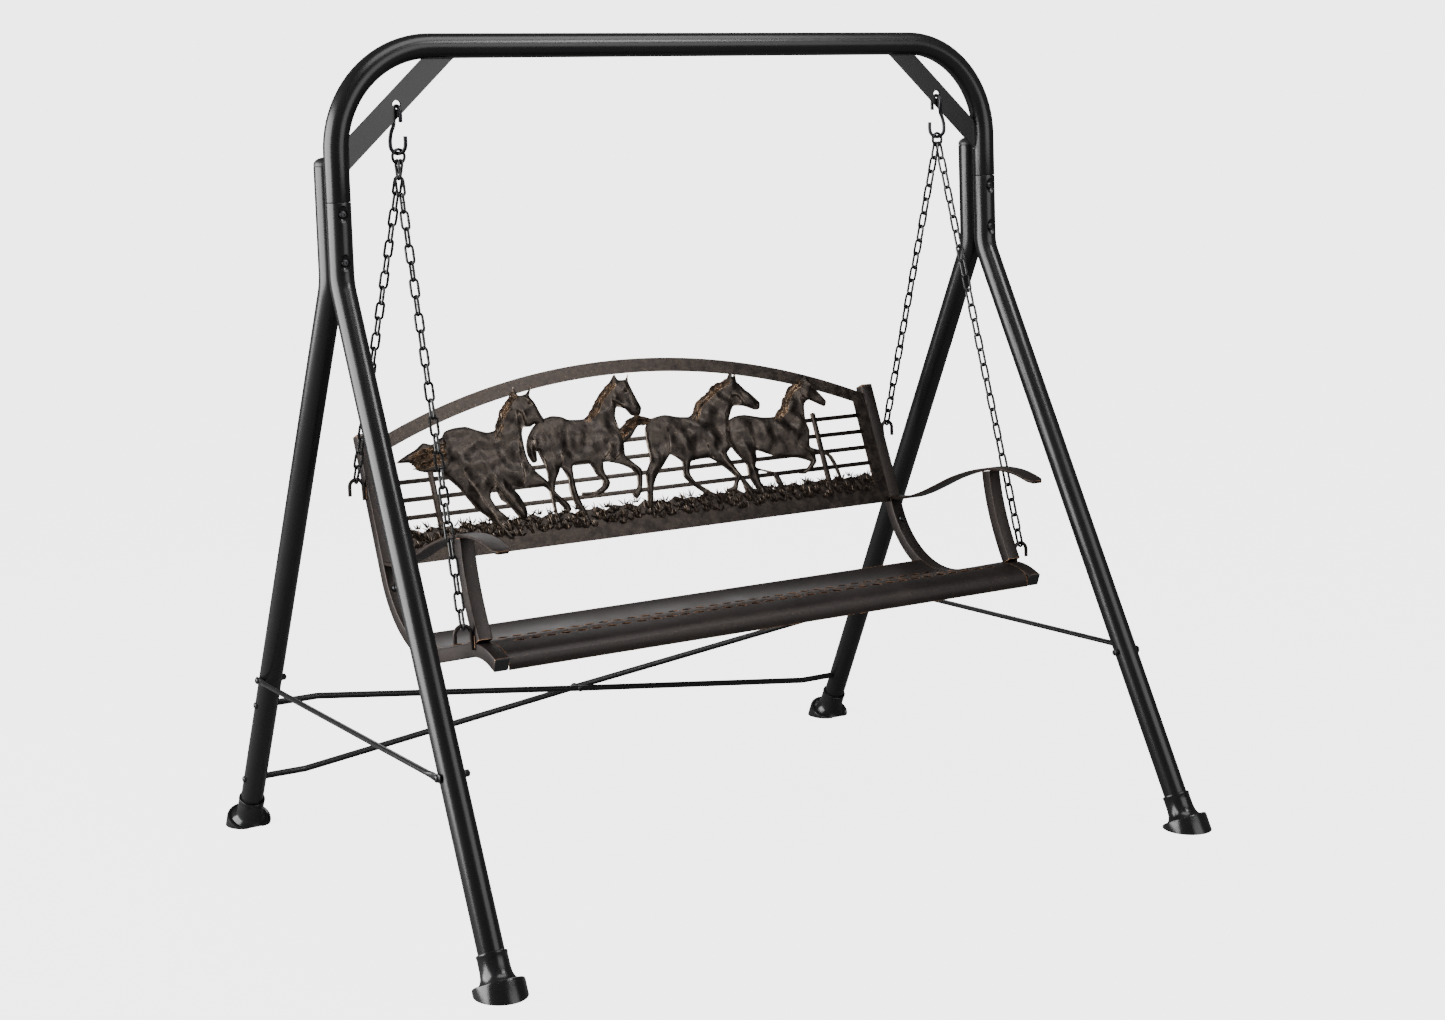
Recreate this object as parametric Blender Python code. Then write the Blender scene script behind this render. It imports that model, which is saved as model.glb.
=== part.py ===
"""Porch swing: a tube stand with a chain-hung two-seat bench. Metres, +Z up, -Y is the front."""
import bpy
import bmesh
import math
from mathutils import Matrix, Vector

MM = 0.001

# Driving dimensions, in millimetres.
TUBE_R = 25.4              # stand tube, outer radius
TUBE_WALL = 1.8            # stand tube wall
TUBE_SIDES = 12
RAIL_Z = 1680.0            # top rail centre height
RAIL_HALF = 786.0          # half the distance between the uprights
RAIL_BEND_R = 205.0        # radius of the two top corners
SWAGE_R = TUBE_R - TUBE_WALL - 0.5    # outer radius of the reduced rail ends
SWAGE_END_Z = 1251.0       # lower end of the reduced ends
SEAM_Z = 1382.0            # top of the front legs, where the rail goes in
FRONT_LEG_Y = -38.8        # front legs' upright part
LEG_PITCH = 2 * TUBE_R + 0.6          # front to rear leg
LEG_BEND_Z = 1225.0        # where the legs turn outward
REAR_TOP_Z = 1452.0        # open top of the rear legs
FOOT_Y = 652.0             # feet, front and back
FRONT_FOOT_X = 809.0
REAR_FOOT_X = 784.0
LEG_END_S = 16.0           # tube end above the ground, along the leg
FOOT_BASE_R = 50.0
GUSSET_W = 45.0
GUSSET_T = 6.0
HANG_X = 656.0             # gusset hole, hook and ring
HOLE_Z = 1567.0
HOLE_R = 8.6
HOOK_WIRE_R = 4.0
HOOK_LOOP_R = 16.0
HOOK_TOP_Z = 1564.3        # wire centre at the top of the S-hook
HOOK_BOTTOM_Z = 1472.6     # wire centre at the bottom
RING_R = 14.0
RING_WIRE_R = 3.0
LINK_LONG = 38.2           # link, wire centre to wire centre along the chain
LINK_WIDE = 16.0
LINK_WIRE = 3.0            # half the diagonal of the square stand-in wire
FRONT_LINKS = 27
REAR_LINKS = 21
BENCH_RAIL_X = 640.0       # side rail centre
SIDE_W = 30.0              # side rail, across the bench
SIDE_D = 27.0              # side rail, depth of the section
SIDE_WALL = 2.0
BACK_TILT = math.radians(22.0)
SEAT_ARC_R = 195.0         # arc from the upright into the seat, at the rail's top face
SEAT_RISE = math.radians(13.8)
FRONT_ARC_R = 150.0
FRONT_DROP = math.radians(22.0)
PANEL_HALF = BENCH_RAIL_X - SIDE_W / 2 - 0.7
PANEL_T = 2.6              # panel sheet
ARCH_TOP = 399.0           # panel height at the middle
ARCH_R = 1530.0
ARCH_BAND = 32.0
SIDE_BAND = 33.0
PLATE_TOP = 66.0
SEAT_HALF = BENCH_RAIL_X - SIDE_W / 2 - 0.6
SEAT_T = 2.5
ARM_W = 40.0
ARM_T = 6.0
POST_W = 30.0
POST_D = 30.0
BRACE_R = 7.0              # cross braces
BRACE_LIFT = 2.0           # side brace axis off the flat end's inner face
BOLT_R = 4.0
BOLT_HOLE_R = 4.5

for old in list(bpy.data.objects):
    bpy.data.objects.remove(old)


def material(name, colour, metallic, roughness):
    made = bpy.data.materials.new(name)
    made.use_nodes = True
    shader = made.node_tree.nodes["Principled BSDF"]
    shader.inputs["Base Color"].default_value = (*colour, 1.0)
    shader.inputs["Metallic"].default_value = metallic
    shader.inputs["Roughness"].default_value = roughness
    return made


COATS = {
    "black": ((0.012, 0.012, 0.013), 0.0, 0.28),
    "plastic": ((0.016, 0.016, 0.018), 0.0, 0.22),
    "zinc": ((0.05, 0.05, 0.052), 0.9, 0.4),
    "chain": ((0.01, 0.01, 0.01), 0.6, 0.35),
    "bronze": ((0.045, 0.036, 0.032), 0.8, 0.42),
    "relief": ((0.07, 0.056, 0.045), 0.85, 0.45),
}


def add(name, verts, faces, coat, outward=True):
    """One closed body from points in millimetres."""
    mesh = bpy.data.meshes.new(name)
    mesh.from_pydata([tuple(Vector(v) * MM) for v in verts], [], faces)
    if outward:
        bm = bmesh.new()
        bm.from_mesh(mesh)
        bmesh.ops.recalc_face_normals(bm, faces=bm.faces)
        bm.to_mesh(mesh)
        bm.free()
    obj = bpy.data.objects.new(name, mesh)
    bpy.context.scene.collection.objects.link(obj)
    if coat:
        colour, metallic, roughness = COATS[coat]
        obj.data.materials.append(material(name, colour, metallic, roughness))
    return obj


def helper(obj):
    obj.hide_render = True
    obj.display_type = "WIRE"
    return obj


def boolean(obj, other, operation):
    mod = obj.modifiers.new(operation.lower(), "BOOLEAN")
    mod.operation = operation
    mod.solver = "EXACT"
    mod.object = other
    return mod


def bake(obj):
    """Applies the modifiers, so that helpers can go."""
    graph = bpy.context.evaluated_depsgraph_get()
    mesh = bpy.data.meshes.new_from_object(obj.evaluated_get(graph))
    obj.modifiers.clear()
    obj.data = mesh
    return obj


def clean(obj):
    bm = bmesh.new()
    bm.from_mesh(obj.data)
    bmesh.ops.remove_doubles(bm, verts=bm.verts, dist=0.00001)
    bmesh.ops.dissolve_degenerate(bm, edges=bm.edges, dist=0.00001)
    bm.to_mesh(obj.data)
    bm.free()
    return obj


def round_section(radius, sides):
    turn = 2 * math.pi / sides
    return [(radius * math.cos(turn * (i + 0.5)), radius * math.sin(turn * (i + 0.5))) for i in range(sides)]


def box_section(wide, deep):
    return [(-wide / 2, -deep / 2), (wide / 2, -deep / 2), (wide / 2, deep / 2), (-wide / 2, deep / 2)]


def frames(path, first, closed=False):
    """(tangent, u, v) at each point, carried along without twist."""
    count = len(path)
    out = []
    u = Vector(first)
    for i in range(count):
        ahead = path[(i + 1) % count] - path[i] if closed or i < count - 1 else None
        behind = path[i] - path[i - 1] if closed or i > 0 else None
        if ahead is None:
            t = behind.normalized()
        elif behind is None:
            t = ahead.normalized()
        else:
            t = (ahead.normalized() + behind.normalized()).normalized()
        u = (u - t * u.dot(t)).normalized()
        out.append((t, u, t.cross(u)))
    return out


def sweep(name, path, section, coat, first=(1, 0, 0), bore=None, closed=False, scales=None):
    """A bar along a path, hollow and open-ended when a bore section is given."""
    path = [Vector(p) for p in path]
    n = len(section)
    verts = []
    faces = []
    fr = frames(path, first, closed)
    for i, p in enumerate(path):
        t, u, v = fr[i]
        grow = scales[i] if scales else (1.0, 1.0)
        for a, b in section:
            verts.append(p + u * a * grow[0] + v * b * grow[0])
        if bore:
            for a, b in bore:
                verts.append(p + u * a * grow[1] + v * b * grow[1])
    step = 2 * n if bore else n
    rounds = len(path) if closed else len(path) - 1
    for i in range(rounds):
        k = ((i + 1) % len(path)) * step
        j = i * step
        for s in range(n):
            e = (s + 1) % n
            faces.append((j + s, j + e, k + e, k + s))
            if bore:
                faces.append((j + n + e, j + n + s, k + n + s, k + n + e))
    if not closed:
        last = (len(path) - 1) * step
        if bore:
            for s in range(n):
                e = (s + 1) % n
                faces.append((s, n + s, n + e, e))
                faces.append((last + s, last + e, last + n + e, last + n + s))
        else:
            faces.append(tuple(reversed(range(n))))
            faces.append(tuple(last + s for s in range(n)))
    return add(name, verts, faces, coat)


def fillet(points, radii, steps):
    """A path through the points with its inner corners rounded."""
    points = [Vector(p) for p in points]
    out = [points[0]]
    for i in range(1, len(points) - 1):
        a = (points[i - 1] - points[i]).normalized()
        b = (points[i + 1] - points[i]).normalized()
        half = a.angle(b) / 2
        reach = radii[i - 1] / math.tan(half)
        centre = points[i] + (a + b).normalized() * (radii[i - 1] / math.sin(half))
        start = points[i] + a * reach - centre
        end = points[i] + b * reach - centre
        full = start.angle(end)
        count = steps[i - 1]
        for k in range(count + 1):
            f = k / count
            mix = (start * math.sin((1 - f) * full) + end * math.sin(f * full)) / math.sin(full)
            out.append(centre + mix)
    out.append(points[-1])
    return out


def prism(name, outline, t0, t1, place, coat):
    """A flat outline (a, b) extruded from t0 to t1. place turns (a, b, t) into a point."""
    n = len(outline)
    verts = [place(a, b, t0) for a, b in outline] + [place(a, b, t1) for a, b in outline]
    faces = [tuple(range(n)), tuple(reversed(range(n, 2 * n)))]
    for s in range(n):
        e = (s + 1) % n
        faces.append((s, s + n, e + n, e))
    return add(name, verts, faces, coat)


def rod(name, start, end, radius, sides, coat=None, first=(0, 0, 1)):
    return sweep(name, [start, end], round_section(radius, sides), coat, first)


# Stand: one top rail with two wide bends, its reduced ends inside the front legs.
def rail_path():
    corner = RAIL_HALF
    up = fillet(
        [(-corner, FRONT_LEG_Y, SEAM_Z + 1.0), (-corner, FRONT_LEG_Y, RAIL_Z), (corner, FRONT_LEG_Y, RAIL_Z),
         (corner, FRONT_LEG_Y, SEAM_Z + 1.0)],
        [RAIL_BEND_R, RAIL_BEND_R], [5, 5])
    low = Vector((-corner, FRONT_LEG_Y, SWAGE_END_Z))
    low2 = Vector((corner, FRONT_LEG_Y, SWAGE_END_Z))
    neck = Vector((-corner, FRONT_LEG_Y, SEAM_Z + 0.35))
    neck2 = Vector((corner, FRONT_LEG_Y, SEAM_Z + 0.35))
    return [low, neck] + up + [neck2, low2]


path = rail_path()
thin = SWAGE_R / TUBE_R
inner = (SWAGE_R - TUBE_WALL) / (TUBE_R - TUBE_WALL)
path[2].z = SEAM_Z + 0.65
path[-3].z = SEAM_Z + 0.65
scales = [(thin, inner), (thin, inner)] + [(1.0, 1.0)] * (len(path) - 4) + [(thin, inner), (thin, inner)]
top_rail = sweep("top_rail", path, round_section(TUBE_R, TUBE_SIDES), "black", (0, 1, 0),
                 round_section(TUBE_R - TUBE_WALL, TUBE_SIDES), scales=scales)
rail_space = helper(sweep("rail_space", path[2:-2], round_section(TUBE_R + 0.45, TUBE_SIDES), None, (0, 1, 0)))

# Corner gussets: flat bars at 45 degrees with one hole each for the S-hook.
for side, s in (("left", -1), ("right", 1)):
    rail_end = Vector((564.0, RAIL_Z - TUBE_R - 0.4))
    leg_end = Vector((RAIL_HALF - TUBE_R - 0.4, 1474.0))
    run = (rail_end - leg_end).normalized()
    over = Vector((-run.y, run.x)) * GUSSET_W / 2
    outline = []
    for corner in (-1, 1):
        p = leg_end + over * corner
        outline.append((leg_end.x, p.y + (leg_end.x - p.x) * run.y / run.x))
    for corner in (1, -1):
        p = rail_end + over * corner
        outline.append((p.x + (rail_end.y - p.y) * run.x / run.y, rail_end.y))
    plate = prism("gusset_" + side, outline, FRONT_LEG_Y - GUSSET_T / 2, FRONT_LEG_Y + GUSSET_T / 2,
                  lambda a, b, t, s=s: (s * a, t, b), "black")
    hole = helper(rod("gusset_hole_" + side, (s * HANG_X, FRONT_LEG_Y - 10, HOLE_Z),
                      (s * HANG_X, FRONT_LEG_Y + 10, HOLE_Z), HOLE_R, 12, first=(0, 0, 1)))
    boolean(plate, hole, "DIFFERENCE")
    boolean(plate, rail_space, "DIFFERENCE")

# Legs: two a side, one behind the other, upright above the bend and splayed below it.
LEGS = {}
for side, s in (("left", -1), ("right", 1)):
    for row, y, top, foot_x, foot_y in (("front", FRONT_LEG_Y, SEAM_Z, FRONT_FOOT_X, -FOOT_Y),
                                        ("rear", FRONT_LEG_Y + LEG_PITCH, REAR_TOP_Z, REAR_FOOT_X, FOOT_Y)):
        bend = Vector((s * RAIL_HALF, y, LEG_BEND_Z))
        ground = Vector((s * foot_x, foot_y, 0.0))
        axis = (bend - ground).normalized()
        end = ground + axis * LEG_END_S
        path = fillet([(s * RAIL_HALF, y, top), bend, end], [90.0], [3])
        leg = sweep(row + "_leg_" + side, path, round_section(TUBE_R, TUBE_SIDES), "black", (1, 0, 0),
                    round_section(TUBE_R - TUBE_WALL, TUBE_SIDES))
        LEGS[row, side] = (leg, ground, axis)

# Rear leg caps: domed plugs over the open tops.
for side, s in (("left", -1), ("right", 1)):
    y = FRONT_LEG_Y + LEG_PITCH
    rings = [(0.0, TUBE_R), (4.0, TUBE_R), (11.0, 21.0), (16.0, 12.0), (17.5, 2.0)]
    plug = [(-18.0, TUBE_R - TUBE_WALL - 1.0), (-0.0, TUBE_R - TUBE_WALL - 1.0)]
    path = [(s * RAIL_HALF, y, REAR_TOP_Z + 0.4 + h) for h, r in plug + rings]
    cap = sweep("leg_cap_" + side, path, round_section(1.0, TUBE_SIDES), "plastic",
                scales=[(r, r) for h, r in plug + rings])

# Feet: a cup round each tube end on a round base cut level with the ground.
FOOT_BORE_R = TUBE_R + 0.55
FOOT_WALL_R = TUBE_R + 3.2
FOOT_PROFILE = [(0.1, -60.0), (FOOT_BASE_R, -60.0), (FOOT_BASE_R, 27.0), (FOOT_BASE_R - 3.5, 31.0),
                (FOOT_WALL_R + 0.4, 33.5), (FOOT_WALL_R, 74.0), (FOOT_BORE_R, 74.0), (FOOT_BORE_R, 13.0), (0.1, 13.0)]
for (row, side), (leg, ground, axis) in LEGS.items():
    sides = TUBE_SIDES
    u = Vector((1, 0, 0))
    u = (u - axis * u.dot(axis)).normalized()
    v = axis.cross(u)
    verts = []
    faces = []
    for radius, along in FOOT_PROFILE:
        for k in range(sides):
            angle = 2 * math.pi * (k + 0.5) / sides
            verts.append(ground + axis * along + (u * math.cos(angle) + v * math.sin(angle)) * radius)
    for r in range(len(FOOT_PROFILE) - 1):
        for k in range(sides):
            e = (k + 1) % sides
            faces.append((r * sides + k, r * sides + e, (r + 1) * sides + e, (r + 1) * sides + k))
    faces.append(tuple(range(sides)))
    last = (len(FOOT_PROFILE) - 1) * sides
    faces.append(tuple(last + k for k in range(sides)))
    foot = add("foot_" + row + "_" + side, verts, faces, "plastic")
    floor = [(ground.x + a, ground.y + b, h) for h in (-150.0, 0.0) for a, b in
             ((-150, -150), (150, -150), (150, 150), (-150, 150))]
    slab = helper(add("ground_" + row + "_" + side, floor,
                      [(0, 3, 2, 1), (4, 5, 6, 7), (0, 1, 5, 4), (1, 2, 6, 5), (2, 3, 7, 6), (3, 0, 4, 7)], None))
    boolean(foot, slab, "DIFFERENCE")


def bolt(name, head, tip, head_r, head_h, nut_at=None, nut_r=0.0, nut_h=0.0, coat="zinc"):
    """A bolt from its head's outer face to its tip, with its nut when one is given."""
    head = Vector(head)
    tip = Vector(tip)
    line = (tip - head).normalized()
    first = Vector((0, 0, 1)) if abs(line.z) < 0.9 else Vector((1, 0, 0))
    marks = [(0.0, head_r * 0.55), (head_h * 0.6, head_r), (head_h, head_r), (head_h, BOLT_R)]
    if nut_at is not None:
        marks += [(nut_at, BOLT_R), (nut_at, nut_r), (nut_at + nut_h, nut_r), (nut_at + nut_h, BOLT_R)]
    marks.append(((tip - head).length, BOLT_R))
    verts = []
    faces = []
    sides = 6
    u = first.cross(line).normalized()
    v = line.cross(u)
    for along, radius in marks:
        for k in range(sides):
            angle = math.pi * k / 3
            verts.append(head + line * along + (u * math.cos(angle) + v * math.sin(angle)) * radius)
    for r in range(len(marks) - 1):
        for k in range(sides):
            e = (k + 1) % sides
            faces.append((r * sides + k, r * sides + e, (r + 1) * sides + e, (r + 1) * sides + k))
    faces.append(tuple(range(sides)))
    faces.append(tuple((len(marks) - 1) * sides + k for k in range(sides)))
    return add(name, verts, faces, coat)


def drill(targets, start, end, name):
    start = Vector(start)
    end = Vector(end)
    line = (end - start).normalized()
    u = Vector((0, 0, 1)).cross(line).normalized()
    hole = helper(sweep(name, [start, end], [(BOLT_HOLE_R * math.cos(math.pi * k / 3),
                                              BOLT_HOLE_R * math.sin(math.pi * k / 3)) for k in range(6)], None, u))
    for target in targets:
        boolean(target, hole, "DIFFERENCE")


# Leg bolts: two a side, right through the front leg, the rail end inside it and the rear leg.
for side, s in (("left", -1), ("right", 1)):
    for row, z in (("upper", 1359.0), ("lower", 1266.0)):
        front = FRONT_LEG_Y - TUBE_R
        back = FRONT_LEG_Y + LEG_PITCH + TUBE_R
        x = s * RAIL_HALF
        drill([LEGS["front", side][0], LEGS["rear", side][0], top_rail], (x, front - 9, z), (x, back + 9, z),
              "leg_hole_" + row + "_" + side)
        bolt("leg_bolt_" + row + "_" + side, (x, front - 5.4, z), (x, back + 12, z), 8.0, 5.0,
             back - front + 5.4 + 0.4, 7.5, 6.0)


def leg_point(row, side, z):
    leg, ground, axis = LEGS[row, side]
    return ground + axis * (z / axis.z)


# Side braces: a thin rod each side, flattened and bolted on the outer face of both legs.
for side, s in (("left", -1), ("right", 1)):
    ends = {}
    for row, z in (("front", 353.0), ("rear", 361.0)):
        at = leg_point(row, side, z)
        x = at.x + s * (TUBE_R + 0.5)
        ends[row] = Vector((x, at.y, z))
        name = row + "_" + side
        drill([LEGS[row, side][0]], (x + s * 9, at.y, z), (at.x - s * 40, at.y, z), "side_brace_hole_" + name)
        bolt("side_brace_bolt_" + name, (x + s * 9.4, at.y, z), (at.x - s * (TUBE_R + 11), at.y, z), 7.5, 4.5,
             2 * TUBE_R + 10.3, 7.0, 9.0)
    f = ends["front"]
    r = ends["rear"]
    along = (r - f).normalized()
    steps = [(-11.0, 2.0, 3.0), (-9.0, 2.0, 8.0), (24.0, 2.0, 8.0), (46.0, 5.6, 5.6)]
    half = (r - f).length
    marks = steps + [(half - a, b, c) for a, b, c in reversed(steps)]
    verts = []
    faces = []
    out = Vector((s, 0, 0))
    out = (out - along * out.dot(along)).normalized()
    side_v = along.cross(out)
    for a, thick, wide in marks:
        centre = f + along * a + out * BRACE_LIFT
        for k in range(8):
            angle = 2 * math.pi * (k + 0.5) / 8
            verts.append(centre + out * math.cos(angle) * thick + side_v * math.sin(angle) * wide)
    for i in range(len(marks) - 1):
        for k in range(8):
            e = (k + 1) % 8
            faces.append((i * 8 + k, i * 8 + e, (i + 1) * 8 + e, (i + 1) * 8 + k))
    faces.append(tuple(range(8)))
    faces.append(tuple((len(marks) - 1) * 8 + k for k in range(8)))
    brace = add("side_brace_" + side, verts, faces, "black")
    for row in ("front", "rear"):
        e = ends[row]
        drill([brace], (e.x - s * 9, e.y, e.z), (e.x + s * 14, e.y, e.z), "side_brace_eye_" + row + "_" + side)

# Cross braces: two bent rods between the rear legs, bolted end-on and to each other where they cross.
CROSS_HIGH = 300.0
CROSS_LOW = 117.0
for label, low_side in (("a", 1), ("b", -1)):
    high = leg_point("rear", "left" if low_side == 1 else "right", CROSS_HIGH)
    low = leg_point("rear", "right" if low_side == 1 else "left", CROSS_LOW)
    shift = -9.0 if label == "a" else 9.0
    reach_high = abs(high.x) - TUBE_R - 0.5
    reach_low = abs(low.x) - TUBE_R - 0.5
    mid = (high + low) / 2 + Vector((0, shift, 0))
    mid.x = 0
    points = [(-low_side * reach_high, high.y, high.z), (-low_side * (reach_high - 92), high.y, high.z),
              (mid.x, mid.y, mid.z), (low_side * (reach_low - 92), low.y, low.z), (low_side * reach_low, low.y, low.z)]
    path = fillet(points, [60.0, 400.0, 60.0], [3, 1, 3])
    brace = sweep("cross_brace_" + label, path, round_section(BRACE_R, 8), "black", (0, 0, 1))
    drill([brace], (0, mid.y - 20, mid.z), (0, mid.y + 20, mid.z), "cross_eye_" + label)
    for end, x_in, word in ((high, -low_side * reach_high, "upper"), (low, low_side * reach_low, "lower")):
        s = -1 if x_in < 0 else 1
        outer = abs(end.x) + TUBE_R + 5.6
        name = "cross_bolt_" + word + "_" + ("left" if s < 0 else "right")
        drill([LEGS["rear", "left" if s < 0 else "right"][0], brace], (s * (outer + 9), end.y, end.z),
              (s * (abs(x_in) - 24), end.y, end.z), name + "_hole")
        bolt(name, (s * outer, end.y, end.z), (s * (abs(x_in) - 21), end.y, end.z), 7.5, 5.0)
middle = (leg_point("rear", "left", CROSS_HIGH) + leg_point("rear", "right", CROSS_LOW)) / 2
bolt("cross_bolt_middle", (0, middle.y - 9 - BRACE_R - 5.4, middle.z), (0, middle.y + 9 + BRACE_R + 12, middle.z),
     7.0, 5.0, 5.4 + 4 * BRACE_R + 4.4, 7.0, 6.0)


# Hanging set: S-hooks through the gussets, a ring on each, then two chains a side.
def facing(angle):
    return Vector((math.sin(angle), -math.cos(angle), 0.0))


for side, s in (("left", -1), ("right", 1)):
    centre = Vector((s * HANG_X, FRONT_LEG_Y, 0.0))
    upper = facing(math.radians(8.0)) * -s
    lower = facing(math.radians(42.0)) * -s
    R = HOOK_LOOP_R
    r2 = 13.0
    pts = []
    top = HOOK_TOP_Z - r2
    for d, h in ((r2, -19.0), (r2, 0.0)):
        pts.append(centre + upper * d + Vector((0, 0, top + h)))
    for k in range(1, 7):
        angle = math.pi * k / 6
        pts.append(centre + upper * r2 * math.cos(angle) + Vector((0, 0, top + r2 * math.sin(angle))))
    low = HOOK_BOTTOM_Z + R
    pts.append(centre - upper * 11.0 + Vector((0, 0, top - 14.0)))
    pts.append(centre - (upper + lower) * 5.0 + Vector((0, 0, top - 25.0)))
    pts.append(centre - lower * 13.2 + Vector((0, 0, top - 38.0)))
    for k in range(0, 7):
        angle = math.pi * k / 6
        pts.append(centre - lower * R * math.cos(angle) + Vector((0, 0, low - R * math.sin(angle))))
    pts.append(centre + lower * R + Vector((0, 0, low + 17.0)))
    sweep("s_hook_" + side, pts, round_section(HOOK_WIRE_R, 6), "chain", (1, 0, 0))
    ring_z = HOOK_BOTTOM_Z + HOOK_WIRE_R + RING_WIRE_R + 0.95 - RING_R
    turned = Vector((math.cos(math.radians(10.0)), math.sin(math.radians(10.0)), 0.0))
    circle = [centre + turned * RING_R * math.cos(math.pi * k / 6)
              + Vector((0, 0, ring_z + RING_R * math.sin(math.pi * k / 6))) for k in range(12)]
    sweep("ring_" + side, circle, round_section(RING_WIRE_R, 6), "chain", (0, 1, 0), closed=True)


def link(d, w, centre, verts, faces):
    """Appends one closed link, a rectangle of square wire in the plane of d and w."""
    n = d.cross(w)
    a = LINK_LONG / 2
    b = LINK_WIDE / 2
    outline = [(a, b), (-a, b), (-a, -b), (a, -b)]
    base = len(verts)
    count = len(outline)
    for i in range(count):
        p = Vector(outline[i])
        grow = LINK_WIRE * math.sqrt(2.0)
        out = Vector((math.copysign(math.sqrt(0.5), p.x), math.copysign(math.sqrt(0.5), p.y)))
        for along, across in ((1, 0), (0, 1), (-1, 0), (0, -1)):
            spot = centre + d * (p.x + out.x * along * grow) + w * (p.y + out.y * along * grow)
            verts.append(spot + n * across * LINK_WIRE)
    for i in range(count):
        j = (i + 1) % count
        for k in range(4):
            e = (k + 1) % 4
            faces.append((base + i * 4 + k, base + i * 4 + e, base + j * 4 + e, base + j * 4 + k))


FRONT_HOOK = Vector((676.0, -278.0, 579.0))
REAR_HOOK = Vector((674.0, 207.0, 808.0))
CHAIN_TOP = HOOK_BOTTOM_Z + HOOK_WIRE_R + RING_WIRE_R + 0.95 - 2 * RING_R
for row, count, low, shift in (("front", FRONT_LINKS, FRONT_HOOK, 3.7), ("rear", REAR_LINKS, REAR_HOOK, -3.7)):
    for side, s in (("left", -1), ("right", 1)):
        top = Vector((s * (HANG_X + shift), FRONT_LEG_Y, CHAIN_TOP))
        bottom = Vector((s * low.x, low.y, low.z))
        d = (bottom - top).normalized()
        first = top - d * (RING_WIRE_R + LINK_WIRE + 1.25)
        last = bottom + d * (4.0 + LINK_WIRE + 0.5)
        pitch = ((last - first).length - LINK_LONG) / (count - 1)
        across = (Vector((1, 0, 0)) - d * d.x).normalized()
        fore = d.cross(across)
        sets = ([], []), ([], [])
        for i in range(count):
            verts, faces = sets[i % 2]
            centre = first + d * (LINK_LONG / 2 + i * pitch)
            link(d, fore if i % 2 == 0 else across, centre, verts, faces)
        chain = add("chain_" + row + "_" + side, *sets[0], "chain")
        other = helper(add("links_" + row + "_" + side, *sets[1], None))
        boolean(chain, other, "UNION")
        clean(bake(chain))
        bpy.data.objects.remove(other)


# Bench side rails: one bent square tube each, upright, seat arc, rise and front curl.
def side_curve(offset):
    """The rail's top face moved outward (down and back) by offset, from the top end to the front end."""
    t = Vector((-math.sin(BACK_TILT), -math.cos(BACK_TILT)))
    n = Vector((t.y, -t.x))
    start = Vector((235.0, 895.0))
    turn_in = Vector((122.5, 617.0))
    centre = turn_in + n * SEAT_ARC_R
    pts = [start - n * offset]
    full = math.pi / 2 - BACK_TILT + SEAT_RISE
    steps = 9
    for k in range(steps + 1):
        a = full * k / steps
        c, si = math.cos(a), math.sin(a)
        m = Vector((n.x * c + t.x * -si, n.y * c + t.y * -si))
        pts.append(centre - m * (SEAT_ARC_R + offset))
    out = Vector((-math.cos(SEAT_RISE), math.sin(SEAT_RISE)))
    end_arc = centre - (Vector((math.sin(SEAT_RISE), math.cos(SEAT_RISE))) * SEAT_ARC_R)
    turn = end_arc + out * ((-262.0 - end_arc.x) / out.x)
    normal = Vector((out.y, -out.x))
    if normal.y < 0:
        normal = -normal
    hub = turn - normal * FRONT_ARC_R
    full = SEAT_RISE + FRONT_DROP
    steps = 4
    base = math.atan2(normal.y, normal.x)
    for k in range(steps + 1):
        a = base + full * k / steps
        pts.append(hub + Vector((math.cos(a), math.sin(a))) * (FRONT_ARC_R - offset))
    a = base + full
    ahead = Vector((-math.sin(a), math.cos(a)))
    last = hub + Vector((math.cos(a), math.sin(a))) * (FRONT_ARC_R - offset)
    reach = (-369.0 - (hub.x + math.cos(a) * FRONT_ARC_R)) / ahead.x
    pts.append(last + ahead * reach)
    return pts


for side, s in (("left", -1), ("right", 1)):
    path = [Vector((s * BENCH_RAIL_X, p.x, p.y)) for p in side_curve(SIDE_D / 2)]
    rail = sweep("side_rail_" + side, path, box_section(SIDE_W, SIDE_D), "bronze", (1, 0, 0),
                 box_section(SIDE_W - 2 * SIDE_WALL, SIDE_D - 2 * SIDE_WALL))
    for word, p, q in (("top", path[0], path[1]), ("front", path[-1], path[-2])):
        out = (p - q).normalized()
        marks = [p - out * 10.0, p + out * 0.4, p + out * 0.4, p + out * 2.6]
        w, dd = SIDE_W - 2 * SIDE_WALL - 0.8, SIDE_D - 2 * SIDE_WALL - 0.8
        u = Vector((1, 0, 0))
        v = out.cross(u)
        verts = []
        for m, (ww, hh) in zip(marks, ((w, dd), (w, dd), (SIDE_W, SIDE_D), (SIDE_W, SIDE_D))):
            for a, b in box_section(ww, hh):
                verts.append(m + u * a + v * b)
        faces = [(3, 2, 1, 0), (12, 13, 14, 15)]
        for i in range(3):
            for k in range(4):
                e = (k + 1) % 4
                faces.append((i * 4 + k, i * 4 + e, i * 4 + 4 + e, i * 4 + 4 + k))
        add("rail_cap_" + word + "_" + side, verts, faces, "bronze")
    # Bolt through the upright's front face, under the arm joint.
    inward = Vector((0, 0.86, -0.51)).normalized()
    spot = Vector((s * BENCH_RAIL_X, 108.8, 591.2))
    drill([rail], spot - inward * 9, spot + inward * 14, "rail_bolt_hole_" + side)
    bolt("rail_bolt_" + side, spot - inward * 5.9, spot + inward * 11, 7.5, 5.0)
    LEGS["rail", side] = rail

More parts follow.
